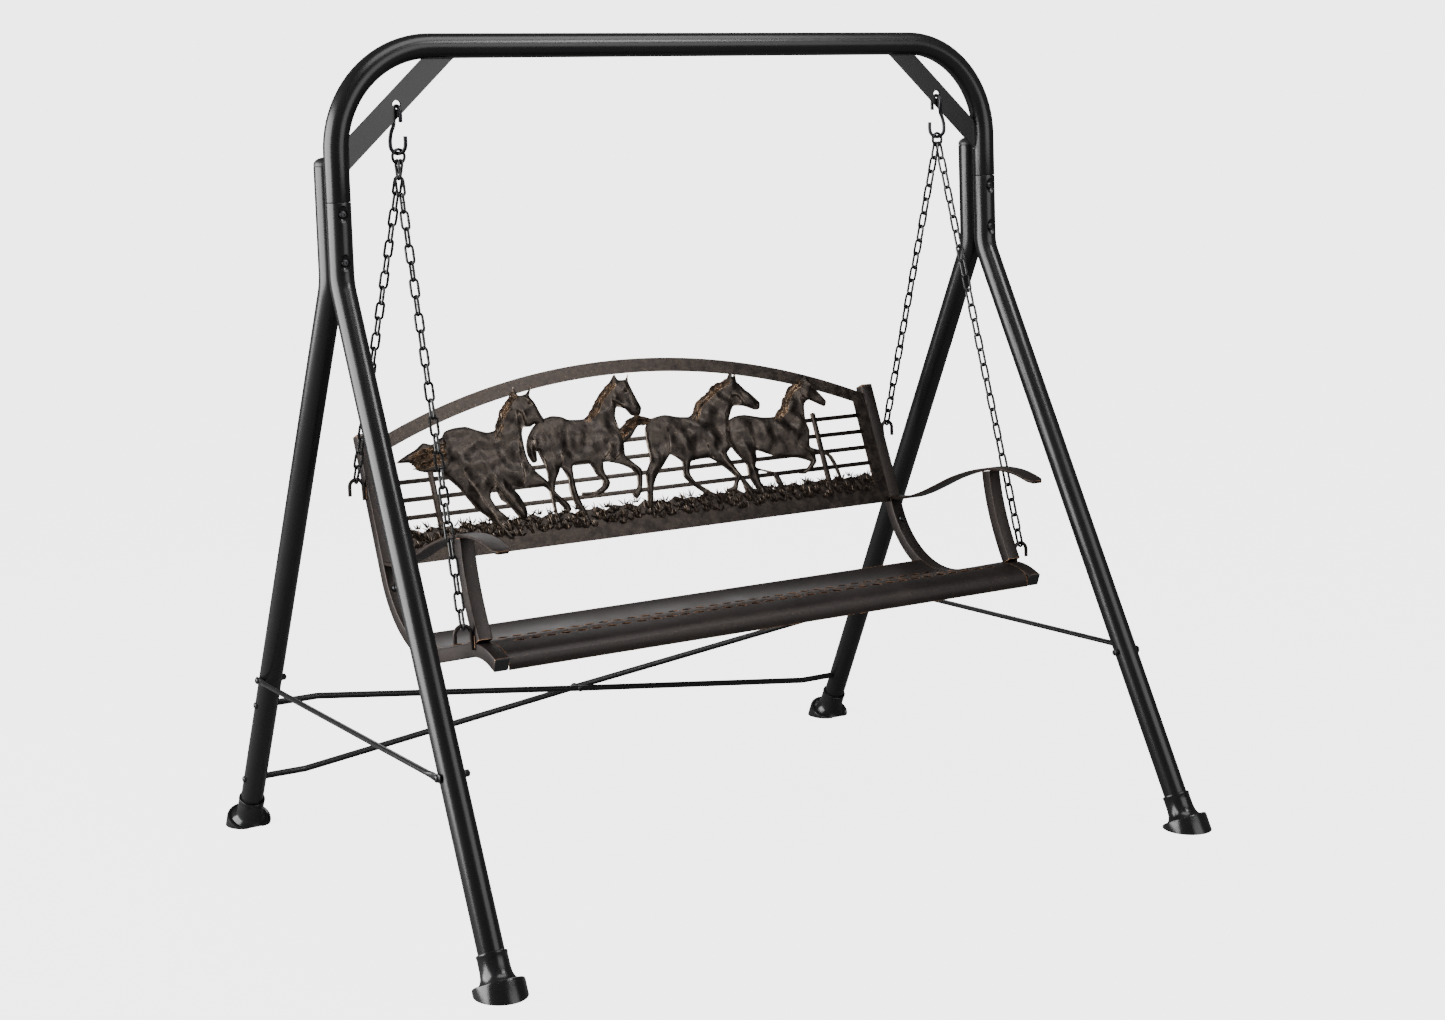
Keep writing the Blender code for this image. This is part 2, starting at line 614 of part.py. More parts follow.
# Chain hooks: bent rods welded to the outer face of the side rails.
for side, s in (("left", -1), ("right", 1)):
    rail_out = BENCH_RAIL_X + SIDE_W / 2
    for row, hook, foot, drop in (("front", FRONT_HOOK, (-284.0, 531.0), 32.0), ("rear", REAR_HOOK, (201.0, 764.0), 34.0)):
        reach = hook.x - rail_out - 4.5
        pts = [(s * (rail_out + 4.5), foot[0], foot[1])]
        pts.append((s * (rail_out + 4.5), hook.y, hook.z - reach))
        for k in range(1, 6):
            a = math.pi * k / 6
            pts.append((s * (hook.x - reach * math.cos(a)), hook.y, hook.z - reach + reach * math.sin(a)))
        pts.append((s * (hook.x + reach), hook.y, hook.z - reach))
        pts.append((s * (hook.x + reach), hook.y, hook.z - drop))
        sweep("chain_hook_" + row + "_" + side, pts, round_section(4.0, 6), "bronze", (0, 1, 0))

# Arms and their posts.
ARM_LINE = [(129.8, 640.0), (95.0, 643.0), (50.0, 651.0), (0.0, 667.0), (-50.0, 687.0), (-109.0, 711.0),
            (-178.0, 732.0), (-240.0, 744.0), (-290.0, 747.0), (-335.0, 743.0), (-378.0, 732.0), (-388.0, 729.0)]
for side, s in (("left", -1), ("right", 1)):
    path = [(s * (BENCH_RAIL_X - 2.0), a, b) for a, b in ARM_LINE]
    n = len(path)
    arm = sweep("arm_" + side, path, box_section(1.0, 1.0), "bronze")
    fr = frames([Vector(p) for p in path], (1, 0, 0))
    verts = []
    for i, p in enumerate(path):
        t, u, v = fr[i]
        wide = ARM_W if i < n - 1 else ARM_W - 18.0
        if i == 0:
            wide = SIDE_W
        for a, b in box_section(wide, ARM_T):
            verts.append((Vector(p) + u * a + v * b) * MM)
    for vert, co in zip(arm.data.vertices, verts):
        vert.co = co
    top = Vector((s * BENCH_RAIL_X, -226.0, 738.2))
    mid = Vector((s * BENCH_RAIL_X, -247.0, 645.0))
    low = Vector((s * BENCH_RAIL_X, -292.0, 546.4))
    pts = []
    for k in range(7):
        f = k / 6
        q = 2 * mid - (top + low) / 2
        pts.append(top * (1 - f) ** 2 + q * 2 * f * (1 - f) + low * f ** 2)
    post = sweep("arm_post_" + side, pts, box_section(POST_W, POST_D), "bronze", (1, 0, 0),
                 box_section(POST_W - 3.6, POST_D - 3.6))
    # The post ends follow the arm above and the rail below.
    for vert in post.data.vertices:
        y = vert.co.y / MM
        if vert.co.z > 0.72:
            t = (y + 178.0) / (-240.0 + 178.0)
            vert.co.z = (732.0 + 12.0 * t - ARM_T / 2 - 1.0) * MM
        if vert.co.z < 0.57:
            vert.co.z = (393.6 + math.sqrt(150.3 ** 2 - (y + 297.8) ** 2) + 0.4) * MM

# Back panel: arched band, side bands, ground plate, fence and four running horses.
PANEL_O = Vector((0.0, 129.0, 632.0))


def on_panel(a, b, t):
    return Vector((a, -t, b))


def arch(x, drop=0.0):
    return ARCH_TOP - drop - (ARCH_R - math.sqrt(ARCH_R ** 2 - x ** 2))


def piece(name, outline, front, back):
    return helper(prism("relief_" + name, outline, -back, -front, on_panel, None))


steps = 16
xs = [-PANEL_HALF + 2 * PANEL_HALF * k / steps for k in range(steps + 1)]
inner_half = PANEL_HALF - SIDE_BAND
outer = [(-PANEL_HALF, 0.0), (PANEL_HALF, 0.0)] + [(x, arch(x)) for x in reversed(xs)]
panel = prism("back_panel", outer, -2.0 - PANEL_T, -2.0, on_panel, "relief")
xs = [-inner_half + 2 * inner_half * k / steps for k in range(steps + 1)]
ragged = []
for k in range(41):
    x = inner_half - 2 * inner_half * k / 40
    ragged.append((x, PLATE_TOP + (11.0 if k % 2 else 0.0) + 3.0 * math.sin(k * 1.7)))
window = [(x, arch(x, ARCH_BAND)) for x in xs] + ragged
boolean(panel, piece("window", window, -20.0, 20.0), "DIFFERENCE")
bake(panel)
FENCE = [("rail_1", -601.3, 600.7, 97.6), ("rail_2", -600.9, 601.1, 135.7), ("rail_3", -601.7, 600.3, 174.4),
         ("rail_4", -60.3, 601.9, 213.7)]
for name, a, b, h in FENCE:
    boolean(panel, piece(name, [(a, h - 5), (b, h - 5), (b, h + 5), (a, h + 5)], 2.9, 5.1), "UNION")
    bake(panel)
for name, a, h in (("post_1", -508.3, 190.4), ("post_2", 470.6, 229.3)):
    boolean(panel, piece(name, [(a - 7, 55.3), (a + 7, 55.3), (a + 7, h), (a - 7, h)], 2.5, 5.5), "UNION")
    bake(panel)
HORSES = {
    "tail_1": [(-462, 262), (-492, 249), (-512, 254), (-531, 242), (-558, 230), (-580, 217), (-548, 214),
               (-535, 196), (-516, 190), (-480, 188), (-455, 200)],
    "horse_1": [(-277, 357), (-268, 338), (-250, 340), (-233, 354), (-242, 335), (-233, 319), (-225, 294),
                (-214, 268), (-219, 255), (-241, 271), (-254, 266), (-272, 266), (-279, 250), (-280, 214),
                (-277, 190), (-265, 166), (-243, 142), (-226, 112), (-204, 88), (-201, 74), (-210, 68),
                (-234, 102), (-253, 130), (-305, 133), (-329, 140), (-315, 116), (-306, 90), (-308, 70),
                (-323, 64), (-344, 98), (-361, 114), (-369, 140), (-379, 134), (-383, 118), (-372, 94),
                (-355, 74), (-368, 66), (-359, 50), (-349, 26), (-366, 30), (-398, 77), (-423, 102), (-451, 148),
                (-470, 170), (-483, 182), (-481, 226), (-472, 252), (-457, 274), (-433, 280), (-406, 280),
                (-384, 271), (-360, 263), (-340, 267), (-324, 294), (-310, 318), (-288, 335)],
    "horse_2": [(-23, 366), (-17, 353), (2, 352), (12, 364), (8, 347), (13, 326), (21, 300), (26, 284),
                (19, 268), (8, 266), (-4, 270), (-15, 285), (-35, 291), (-44, 270), (-41, 244), (-36, 220),
                (-39, 196), (-40, 178), (-21, 158), (-8, 144), (-12, 120), (-21, 94), (-36, 79), (-45, 92),
                (-29, 106), (-24, 130), (-34, 148), (-55, 160), (-77, 167), (-98, 171), (-101, 149),
                (-93, 124), (-101, 110), (-123, 98), (-163, 99), (-167, 108), (-137, 107), (-115, 117),
                (-111, 129), (-123, 146), (-134, 170), (-173, 170), (-178, 142), (-177, 110), (-173, 88),
                (-165, 60), (-160, 36), (-172, 36), (-182, 67), (-192, 94), (-195, 117), (-193, 144),
                (-203, 168), (-212, 156), (-224, 138), (-233, 106), (-235, 75), (-232, 51), (-229, 34),
                (-247, 37), (-243, 70), (-243, 99), (-244, 125), (-240, 150), (-240, 168), (-252, 212),
                (-257, 188), (-268, 186), (-276, 204), (-275, 224), (-267, 243), (-252, 262), (-232, 277),
                (-200, 285), (-176, 281), (-160, 273), (-125, 271), (-105, 284), (-71, 324), (-38, 350)],
    "tail_3": [(44, 256), (16, 266), (-8, 262), (-30, 248), (-46, 237), (-58, 214), (-35, 208), (-14, 221),
               (8, 243), (40, 244)],
    "horse_3": [(277, 349), (280, 334), (289, 345), (288, 323), (304, 302), (323, 284), (336, 268),
                (331, 254), (318, 253), (292, 264), (264, 266), (246, 240), (234, 208), (230, 170), (218, 157),
                (234, 119), (249, 94), (262, 72), (271, 43), (259, 35), (246, 62), (237, 93), (229, 86),
                (221, 70), (194, 69), (197, 77), (214, 82), (224, 104), (195, 134), (169, 152), (122, 149),
                (111, 122), (122, 100), (160, 70), (172, 50), (145, 66), (107, 99), (93, 118), (97, 151),
                (74, 170), (63, 162), (24, 122), (9, 95), (2, 66), (-19, 34), (-12, 69), (-4, 105), (0, 134),
                (16, 158), (19, 185), (19, 212), (25, 238), (42, 256), (80, 262), (110, 255), (140, 252),
                (155, 261), (169, 284), (203, 303), (232, 321), (263, 332)],
    "horse_4": [(475, 324), (483, 316), (490, 295), (504, 276), (517, 256), (510, 244), (496, 250),
                (471, 263), (455, 253), (448, 216), (452, 190), (443, 152), (479, 138), (496, 124), (505, 97),
                (508, 64), (500, 76), (491, 110), (481, 128), (453, 134), (450, 115), (435, 101), (413, 90),
                (395, 93), (419, 102), (433, 117), (402, 129), (346, 138), (298, 157), (293, 138), (286, 118),
                (331, 102), (342, 89), (346, 70), (330, 75), (324, 97), (291, 110), (289, 82), (307, 51),
                (298, 42), (273, 70), (260, 101), (261, 128), (238, 163), (230, 189), (232, 212), (243, 234),
                (262, 242), (288, 243), (333, 233), (366, 232), (386, 248), (410, 280), (431, 301), (459, 314)],
}
for k, (name, outline) in enumerate(HORSES.items()):
    boolean(panel, piece(name, outline, 0.4 + 0.25 * k, 4.25 + 0.2 * k), "UNION")
    bake(panel)

for obj in [o for o in bpy.data.objects if o.name.startswith("relief_")]:
    bpy.data.objects.remove(obj)
panel.location = PANEL_O * MM
panel.rotation_euler = (-BACK_TILT, 0.0, 0.0)

# Seat: one curved sheet between the rails, rolled down at the front.
line = side_curve(1.2)
rear_start = 6
curve = [line[k] for k in range(rear_start, len(line) - 2)]
tip = curve[-1]
roll = [(-352.0, 531.5), (-361.0, 524.0), (-364.5, 514.0), (-364.0, 500.0)]
top_side = [(p.x, p.y) for p in curve] + roll
normals = []
for i, p in enumerate(top_side):
    a = Vector(top_side[max(i - 1, 0)])
    b = Vector(top_side[min(i + 1, len(top_side) - 1)])
    t = (b - a).normalized()
    normals.append(Vector((-t.y, t.x)) * SEAT_T)
under = [(p[0] + n.x, p[1] + n.y) for p, n in zip(top_side, normals)]
if under[5][1] > top_side[5][1]:
    under = [(p[0] - n.x, p[1] - n.y) for p, n in zip(top_side, normals)]
prism("seat_sheet", top_side + list(reversed(under)), -SEAT_HALF, SEAT_HALF, lambda a, b, t: (t, a, b), "bronze")

# Two tubes under the seat tie the side rails together.
for name, y, z in (("seat_tube_front", -322.0, 524.0), ("seat_tube_rear", -40.0, 479.6)):
    sweep(name, [(-SEAT_HALF, y, z), (SEAT_HALF, y, z)], box_section(25.0, 20.0), "bronze", (0, 1, 0),
          box_section(22.0, 17.0))
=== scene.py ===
import math
import random

import bpy
from mathutils import Matrix, Vector, geometry, kdtree, noise


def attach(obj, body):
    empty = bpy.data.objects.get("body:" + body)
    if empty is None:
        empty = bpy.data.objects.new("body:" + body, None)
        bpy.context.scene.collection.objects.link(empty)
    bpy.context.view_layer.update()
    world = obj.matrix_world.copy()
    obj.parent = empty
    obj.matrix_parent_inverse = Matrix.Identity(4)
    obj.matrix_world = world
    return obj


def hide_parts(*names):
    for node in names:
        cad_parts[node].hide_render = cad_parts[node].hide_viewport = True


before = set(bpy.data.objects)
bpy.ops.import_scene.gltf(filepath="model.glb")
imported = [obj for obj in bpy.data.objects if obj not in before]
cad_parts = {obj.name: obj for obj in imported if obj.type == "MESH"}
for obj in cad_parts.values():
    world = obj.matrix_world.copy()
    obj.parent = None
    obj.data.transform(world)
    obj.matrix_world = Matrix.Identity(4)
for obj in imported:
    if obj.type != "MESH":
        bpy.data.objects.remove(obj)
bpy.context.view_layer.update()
MM = 0.001


# Camera: it stands at eye height in front of the left foot and looks a little down at the whole swing.
EYE = Vector((-2.5345, -4.2346, 1.4621))
YAW, PITCH, ROLL = math.radians(31.825), math.radians(5.635), math.radians(-1.860)
right = Vector((math.cos(YAW), -math.sin(YAW), 0.0))
ahead = Vector((math.sin(YAW) * math.cos(PITCH), math.cos(YAW) * math.cos(PITCH), -math.sin(PITCH)))
up = right.cross(ahead)
lens_right = right * math.cos(ROLL) + up * math.sin(ROLL)
lens_up = up * math.cos(ROLL) - right * math.sin(ROLL)
bpy.ops.object.camera_add()
camera = bpy.context.object
camera.matrix_world = Matrix.Translation(EYE) @ Matrix((lens_right, lens_up, -ahead)).transposed().to_4x4()
camera.data.sensor_width = 36.0
camera.data.lens = 58.02
camera.data.shift_y = -0.0912
bpy.context.scene.camera = camera


# Studio: a pale floor and backdrop that are bright to the camera only, so that gloss black stays black, and
# five soft boxes: a large key at the left, a fill in front, a long one overhead, a small one high in front
# and a rim light behind.
class Signal:
    """A shader socket. Operators on it add Math nodes, and node() adds any other node."""

    def __init__(self, tree, socket=None):
        self.tree = tree
        self.socket = socket

    def node(self, kind, settings, inputs, out=0):
        made = self.tree.nodes.new(kind)
        for key, value in settings.items():
            setattr(made, key, value)
        for key, value in inputs.items():
            if isinstance(value, Signal):
                self.tree.links.new(value.socket, made.inputs[key])
            else:
                made.inputs[key].default_value = value
        return Signal(self.tree, made.outputs[out])

    def maths(self, operation, first, second):
        return self.node("ShaderNodeMath", {"operation": operation}, {0: first, 1: second})

    def __add__(self, other):
        return self.maths("ADD", self, other)

    def __radd__(self, other):
        return self.maths("ADD", other, self)

    def __sub__(self, other):
        return self.maths("SUBTRACT", self, other)

    def __rsub__(self, other):
        return self.maths("SUBTRACT", other, self)

    def __mul__(self, other):
        return self.maths("MULTIPLY", self, other)

    def __rmul__(self, other):
        return self.maths("MULTIPLY", other, self)

    def between(self, low, high):
        """0 below low, 1 above high, and a smooth slope from one to the other."""
        return self.node("ShaderNodeMapRange", {"interpolation_type": "SMOOTHSTEP"},
                         {"Value": self, "From Min": low, "From Max": high})

    def tint(self, under, over):
        """A colour that goes from under to over as this value goes from 0 to 1."""
        colours = {6: under, 7: over}
        for key, colour in colours.items():
            if isinstance(colour, tuple):
                colours[key] = (*colour, 1.0)
        return self.node("ShaderNodeMix", {"data_type": "RGBA"}, {0: self, **colours}, 2)


def grain(place, scale, detail=4.0, rough=0.55):
    return place.node("ShaderNodeTexNoise", {}, {"Vector": place, "Scale": scale, "Detail": detail,
                                                 "Roughness": rough})


FLOOR_HALF = 9.0
BACKDROP = 4.0
bpy.ops.mesh.primitive_plane_add(size=2 * FLOOR_HALF)
floor = bpy.context.object
floor.name = "floor"
paper = bpy.data.materials.new("floor_paper")
paper.use_nodes = True
shader = paper.node_tree.nodes["Principled BSDF"]
start = Signal(paper.node_tree)
place = start.node("ShaderNodeTexCoord", {}, {}, "Object")
shade = grain(place, 3.0).tint((0.16, 0.16, 0.16), (0.18, 0.18, 0.18))
paper.node_tree.links.new(shade.socket, shader.inputs["Base Color"])
shader.inputs["Roughness"].default_value = 0.85
shader.inputs["Specular IOR Level"].default_value = 0.2
seen = start.node("ShaderNodeLightPath", {}, {}, "Is Camera Ray")
paper.node_tree.links.new((seen * BACKDROP).socket, shader.inputs["Emission Strength"])
shader.inputs["Emission Color"].default_value = (1.0, 1.0, 1.0, 1.0)
floor.data.materials.append(paper)

world = bpy.data.worlds.new("studio")
world.use_nodes = True
bpy.context.scene.world = world
sky = Signal(world.node_tree)
seen = sky.node("ShaderNodeLightPath", {}, {}, "Is Camera Ray")
backdrop = seen.tint((0.09, 0.09, 0.093), (BACKDROP, BACKDROP, BACKDROP))
world.node_tree.links.new(backdrop.socket, world.node_tree.nodes["Background"].inputs["Color"])

LIGHTS = (
    ("key", (-4.0, 1.0, 1.6), (0.0, 0.0, 0.9), 4.2, 3.2, 430.0),
    ("fill", (1.5, -4.0, 1.8), (0.0, 0.0, 0.8), 3.0, 2.2, 52.0),
    ("overhead", (0.3, -1.2, 4.0), (0.0, 0.0, 0.6), 3.6, 1.6, 70.0),
    ("sheen", (1.5, -2.7, 3.5), (0.0, 0.2, 0.8), 1.2, 0.8, 44.0),
    ("rim", (1.5, 4.2, 2.8), (0.0, 0.0, 0.9), 3.0, 1.6, 40.0),
)
for name, at, aim, wide, tall, power in LIGHTS:
    bpy.ops.object.light_add(type="AREA", location=at)
    light = bpy.context.object
    light.name = name
    light.rotation_euler = (Vector(aim) - Vector(at)).to_track_quat("-Z", "Y").to_euler()
    light.data.shape = "RECTANGLE"
    light.data.size = wide
    light.data.size_y = tall
    light.data.energy = power
    light.visible_camera = False


# Stand tubes: gloss black powder-coated steel tube. The top rail is one tube with two bends, and its ends go
# into the front legs. Each leg has one bend, above which front and rear leg stand side by side.
TUBE_R = 24.5
RAIL_Z = 1680.0
RAIL_BEND_R = 205.0
LEG_X = 786.0
FRONT_Y, REAR_Y = -38.8, 12.6
SEAM_Z = 1382.0
LEG_BEND_Z = 1225.0
LEG_BEND_R = 90.0
REAR_TOP_Z = 1452.0
FOOT_X = {"front": 809.0, "rear": 784.0}
FOOT_Y = {"front": -652.0, "rear": 652.0}
SIDES = (("left", -1), ("right", 1))


def deselect():
    if bpy.context.mode != "OBJECT":
        bpy.ops.object.mode_set(mode="OBJECT")
    bpy.ops.object.select_all(action="DESELECT")


def edit(piece, kind="VERT"):
    deselect()
    piece.select_set(True)
    bpy.context.view_layer.objects.active = piece
    bpy.ops.object.mode_set(mode="EDIT")
    bpy.ops.mesh.select_mode(type=kind)


def done(piece, smooth=35.0):
    deselect()
    piece.select_set(True)
    bpy.context.view_layer.objects.active = piece
    bpy.ops.object.shade_smooth_by_angle(angle=math.radians(smooth))
    piece.select_set(False)
    return piece


def ring(radius, sides):
    return [(radius * math.cos(2 * math.pi * k / sides), radius * math.sin(2 * math.pi * k / sides))
            for k in range(sides)]


def bar(name, outline, points, bends=(), over=(1, 0, 0), rim=0.0, steps=7.5, caps=True):
    """A flat outline pushed along straight runs and spun round the bends, in millimetres."""
    points = [Vector(p) * MM for p in points]
    along = (points[1] - points[0]).normalized()
    side = (Vector(over) - along * along.dot(Vector(over))).normalized()
    turn = Matrix((side, along.cross(side), along)).transposed().to_4x4()
    deselect()
    bpy.ops.mesh.primitive_circle_add(vertices=len(outline), radius=1.0)
    piece = bpy.context.object
    piece.name = name
    piece.data.name = name
    for vert, (a, b) in zip(piece.data.vertices, outline):
        vert.co = (a * MM, b * MM, 0.0)
    piece.matrix_world = Matrix.Translation(points[0]) @ turn
    bpy.ops.object.transform_apply()
    edit(piece)
    bpy.ops.mesh.select_all(action="SELECT")
    here = points[0]
    for i in range(1, len(points)):
        stop = points[i]
        if i < len(points) - 1:
            back = (points[i - 1] - points[i]).normalized()
            onward = (points[i + 1] - points[i]).normalized()
            half = back.angle(onward) / 2
            reach = bends[i - 1] * MM / math.tan(half)
            hub = points[i] + (back + onward).normalized() * bends[i - 1] * MM / math.sin(half)
            stop = points[i] + back * reach
        if (stop - here).length > 1e-6:
            bpy.ops.mesh.extrude_region_move(TRANSFORM_OT_translate={"value": stop - here})
        if i < len(points) - 1:
            angle = math.pi - 2 * half
            bpy.ops.mesh.spin(steps=max(2, round(math.degrees(angle) / steps)), angle=-angle, center=hub,
                              axis=(-back).cross(onward))
            here = points[i] + onward * reach
    bpy.ops.mesh.select_all(action="SELECT")
    bpy.ops.mesh.remove_doubles(threshold=1e-6)
    if caps:
        bpy.ops.mesh.fill_holes(sides=0)
    bpy.ops.mesh.select_all(action="SELECT")
    bpy.ops.mesh.normals_make_consistent(inside=False)
    if rim:
        bpy.ops.mesh.select_all(action="DESELECT")
        bpy.ops.mesh.select_mode(type="FACE")
        bpy.ops.object.mode_set(mode="OBJECT")
        for face in piece.data.polygons:
            face.select = len(face.vertices) == len(outline) and len(outline) > 4
        bpy.ops.object.mode_set(mode="EDIT")
        bpy.ops.mesh.region_to_loop()
        bpy.ops.mesh.bevel(offset=rim * MM, segments=3)
    return done(piece)


def join(name, pieces):
    deselect()
    for piece in pieces:
        piece.select_set(True)
    bpy.context.view_layer.objects.active = pieces[0]
    bpy.ops.object.join()
    pieces[0].name = name
    pieces[0].data.name = name
    pieces[0].select_set(False)
    return pieces[0]


def cut(piece, cutter):
    """Cuts one piece with another, which then goes."""
    change = piece.modifiers.new("cut", "BOOLEAN")
    change.object = cutter
    change.solver = "EXACT"
    deselect()
    bpy.context.view_layer.objects.active = piece
    bpy.ops.object.modifier_apply(modifier="cut")
    bpy.data.objects.remove(cutter)
    return done(piece)


def finish(name):
    made = bpy.data.materials.new(name)
    made.use_nodes = True
    shader = made.node_tree.nodes["Principled BSDF"]
    start = Signal(made.node_tree)
    return made, shader, start.node("ShaderNodeTexCoord", {}, {}, "Object")


def set_finish(made, shader, colour, rough, height=None, depth=0.0, reach=0.001):
    tree = made.node_tree
    tree.links.new(colour.socket, shader.inputs["Base Color"])
    tree.links.new(rough.socket, shader.inputs["Roughness"])
    if height:
        bump = height.node("ShaderNodeBump", {}, {"Strength": depth, "Distance": reach, "Height": height})
        tree.links.new(bump.socket, shader.inputs["Normal"])
    return made


def powder_coat(name, shade, dust, rough, metallic=0.0):
    """Baked powder coat: a slight orange peel, cloudy gloss, fine dust and rare pale scuffs."""
    made, shader, place = finish(name)
    cloud = grain(place, 6.0)
    specks = grain(place, 900.0, 2.0).between(0.66, 0.78)
    scuffs = grain(place, 38.0, 6.0, 0.7).between(0.70, 0.78) * grain(place, 260.0).between(0.5, 0.7)
    colour = (specks * 0.10).tint(cloud.tint(shade, dust), (0.075, 0.072, 0.068))
    colour = (scuffs * 0.25).tint(colour, (0.12, 0.115, 0.11))
    gloss = rough + cloud * 0.10 + scuffs * 0.22 + grain(place, 140.0) * 0.05
    shader.inputs["Metallic"].default_value = metallic
    return set_finish(made, shader, colour, gloss, grain(place, 420.0, 2.0), 0.04, 0.0004)


coat_black = powder_coat("powder_coat_black", (0.0065, 0.0065, 0.0072), (0.0115, 0.0112, 0.0115), 0.20)


def place_on(piece, body, slot, *nodes):
    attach(piece, body)
    if nodes:
        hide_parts(*nodes)


def leg_axis(row, s):
    """Where the leg's line meets the ground, and its direction upward."""
    y = FRONT_Y if row == "front" else REAR_Y
    ground = Vector((s * FOOT_X[row], FOOT_Y[row], 0.0))
    return ground, (Vector((s * LEG_X, y, LEG_BEND_Z)) - ground).normalized()


rail = bar("top_rail_tube", ring(TUBE_R, 48),
           [(-LEG_X, FRONT_Y, SEAM_Z + 0.5), (-LEG_X, FRONT_Y, RAIL_Z), (LEG_X, FRONT_Y, RAIL_Z),
            (LEG_X, FRONT_Y, SEAM_Z + 0.5)], (RAIL_BEND_R, RAIL_BEND_R), (0, 1, 0), rim=0.6, steps=4.0)
rail.data.materials.append(coat_black)
place_on(rail, "stand", "powder_coat_black", "top_rail")
LEG_END_S = 18.0
DIMPLE_Z = (1359.0, 1266.0)
legs = {}
for side, s in SIDES:
    for row, y, top in (("front", FRONT_Y, SEAM_Z), ("rear", REAR_Y, REAR_TOP_Z)):
        ground, axis = leg_axis(row, s)
        leg = bar(f"{row}_leg_tube_{side}", ring(TUBE_R, 48),
                  [(s * LEG_X, y, top), (s * LEG_X, y, LEG_BEND_Z), ground + axis * LEG_END_S],
                  (LEG_BEND_R,), rim=1.2, steps=3.0)
        if row == "front":
            for z in DIMPLE_Z:
                deselect()
                bpy.ops.mesh.primitive_uv_sphere_add(segments=32, ring_count=16, radius=1.0,
                                                     location=(s * LEG_X * MM, (y - TUBE_R - 4.0) * MM,
                                                               z * MM))
                dish = bpy.context.object
                dish.scale = (0.0135, 0.0105, 0.019)
                bpy.ops.object.transform_apply()
                cut(leg, dish)
        leg.data.materials.append(coat_black)
        place_on(leg, "stand", "powder_coat_black", f"{row}_leg_{side}")
        legs[row, side] = leg


# Corner gussets: flat steel bars welded across the two bends at about 43 degrees, each with one round hole
# that takes an S-hook. The weld runs along both ends on both faces.
GUSSET_W = 45.0
GUSSET_T = 6.0
HANG_X = 656.0
HOLE_Z = 1567.0
HOLE_R = 8.6
for side, s in SIDES:
    rail_end = Vector((564.0, RAIL_Z - TUBE_R - 0.2))
    leg_end = Vector((LEG_X - TUBE_R - 0.2, 1474.0))
    run = (rail_end - leg_end).normalized()
    over = Vector((-run.y, run.x)) * GUSSET_W / 2
    outline = []
    for k in (-1, 1):
        p = leg_end + over * k
        outline.append((leg_end.x, p.y + (leg_end.x - p.x) * run.y / run.x))
    for k in (1, -1):
        p = rail_end + over * k
        outline.append((p.x + (rail_end.y - p.y) * run.x / run.y, rail_end.y))
    low, high = outline[0], outline[1]
    near, far = outline[2], outline[3]
    flat = [(s * a, b) for a, b in outline]
    if s > 0:
        flat.reverse()
    y0 = FRONT_Y + GUSSET_T / 2
    plate = bar("gusset_plate_" + side, flat, [(0, y0, 0), (0, y0 - GUSSET_T, 0)], rim=0.0)
    cut(plate, bar("space", ring(TUBE_R - 0.2, 48),
                   [(s * LEG_X, FRONT_Y, 1300), (s * LEG_X, FRONT_Y, RAIL_Z), (0, FRONT_Y, RAIL_Z)],
                   (RAIL_BEND_R,), (0, 1, 0), steps=4.0))
    cut(plate,
        bar("space", ring(HOLE_R, 32),
            [(s * HANG_X, FRONT_Y - 9, HOLE_Z), (s * HANG_X, FRONT_Y + 9, HOLE_Z)]))
    edge = plate.modifiers.new("edge", "BEVEL")
    edge.width = 0.0008
    edge.segments = 2
    edge.angle_limit = math.radians(40)
    edge.limit_method = "ANGLE"
    deselect()
    bpy.context.view_layer.objects.active = plate
    bpy.ops.object.modifier_apply(modifier="edge")
    done(plate)
    welds = []
    for face in (-1, 1):
        y = FRONT_Y + face * (GUSSET_T / 2 + 0.4)
        x, z = s * (leg_end.x + 0.8), rail_end.y + 0.8
        welds.append(bar("weld", ring(2.1, 10), [(x, y, low[1] + 1), (x, y, high[1] - 1)]))
        welds.append(bar("weld", ring(2.1, 10), [(s * (near[0] + 1), y, z), (s * (far[0] - 1), y, z)],
                         over=(0, 0, 1)))
    plate = join("gusset_plate_" + side, [plate] + welds)
    plate.data.materials.append(coat_black)
    place_on(plate, "stand", "powder_coat_black", "gusset_" + side)


# Rear leg caps: moulded plugs with a low dome, pressed into the open tops of the rear legs.
def turned(name, profile, foot, axis, sides=48):
    """A solid of revolution: a profile of (radius, distance along the axis) spun once round the axis."""
    foot, axis = Vector(foot) * MM, Vector(axis).normalized()
    out = axis.orthogonal().normalized()
    deselect()
    bpy.ops.mesh.primitive_circle_add(vertices=len(profile), radius=1.0)
    piece = bpy.context.object
    piece.name = name
    piece.data.name = name
    for vert, (radius, along) in zip(piece.data.vertices, profile):
        vert.co = foot + out * radius * MM + axis * along * MM
    edit(piece)
    bpy.ops.mesh.select_all(action="SELECT")
    bpy.ops.mesh.spin(steps=sides, angle=2 * math.pi, center=foot, axis=axis)
    bpy.ops.mesh.select_all(action="SELECT")
    bpy.ops.mesh.remove_doubles(threshold=1e-6)
    bpy.ops.mesh.delete_loose(use_verts=True, use_edges=True, use_faces=False)
    bpy.ops.mesh.select_all(action="SELECT")
    bpy.ops.mesh.normals_make_consistent(inside=False)
    return done(piece)


def moulded(name, shade, rough):
    """Injection-moulded plastic: fine spark-eroded grain, dull flow marks and a little dust."""
    made, shader, place = finish(name)
    flow = grain(place, 22.0, 5.0)
    dust = grain(place, 300.0, 3.0, 0.7).between(0.58, 0.8)
    colour = (dust * 0.3).tint(flow.tint(shade, tuple(c * 1.9 for c in shade)), (0.09, 0.088, 0.085))
    return set_finish(made, shader, colour, rough + flow * 0.14 + dust * 0.12, grain(place, 700.0, 2.0),
                      0.22, 0.0006)


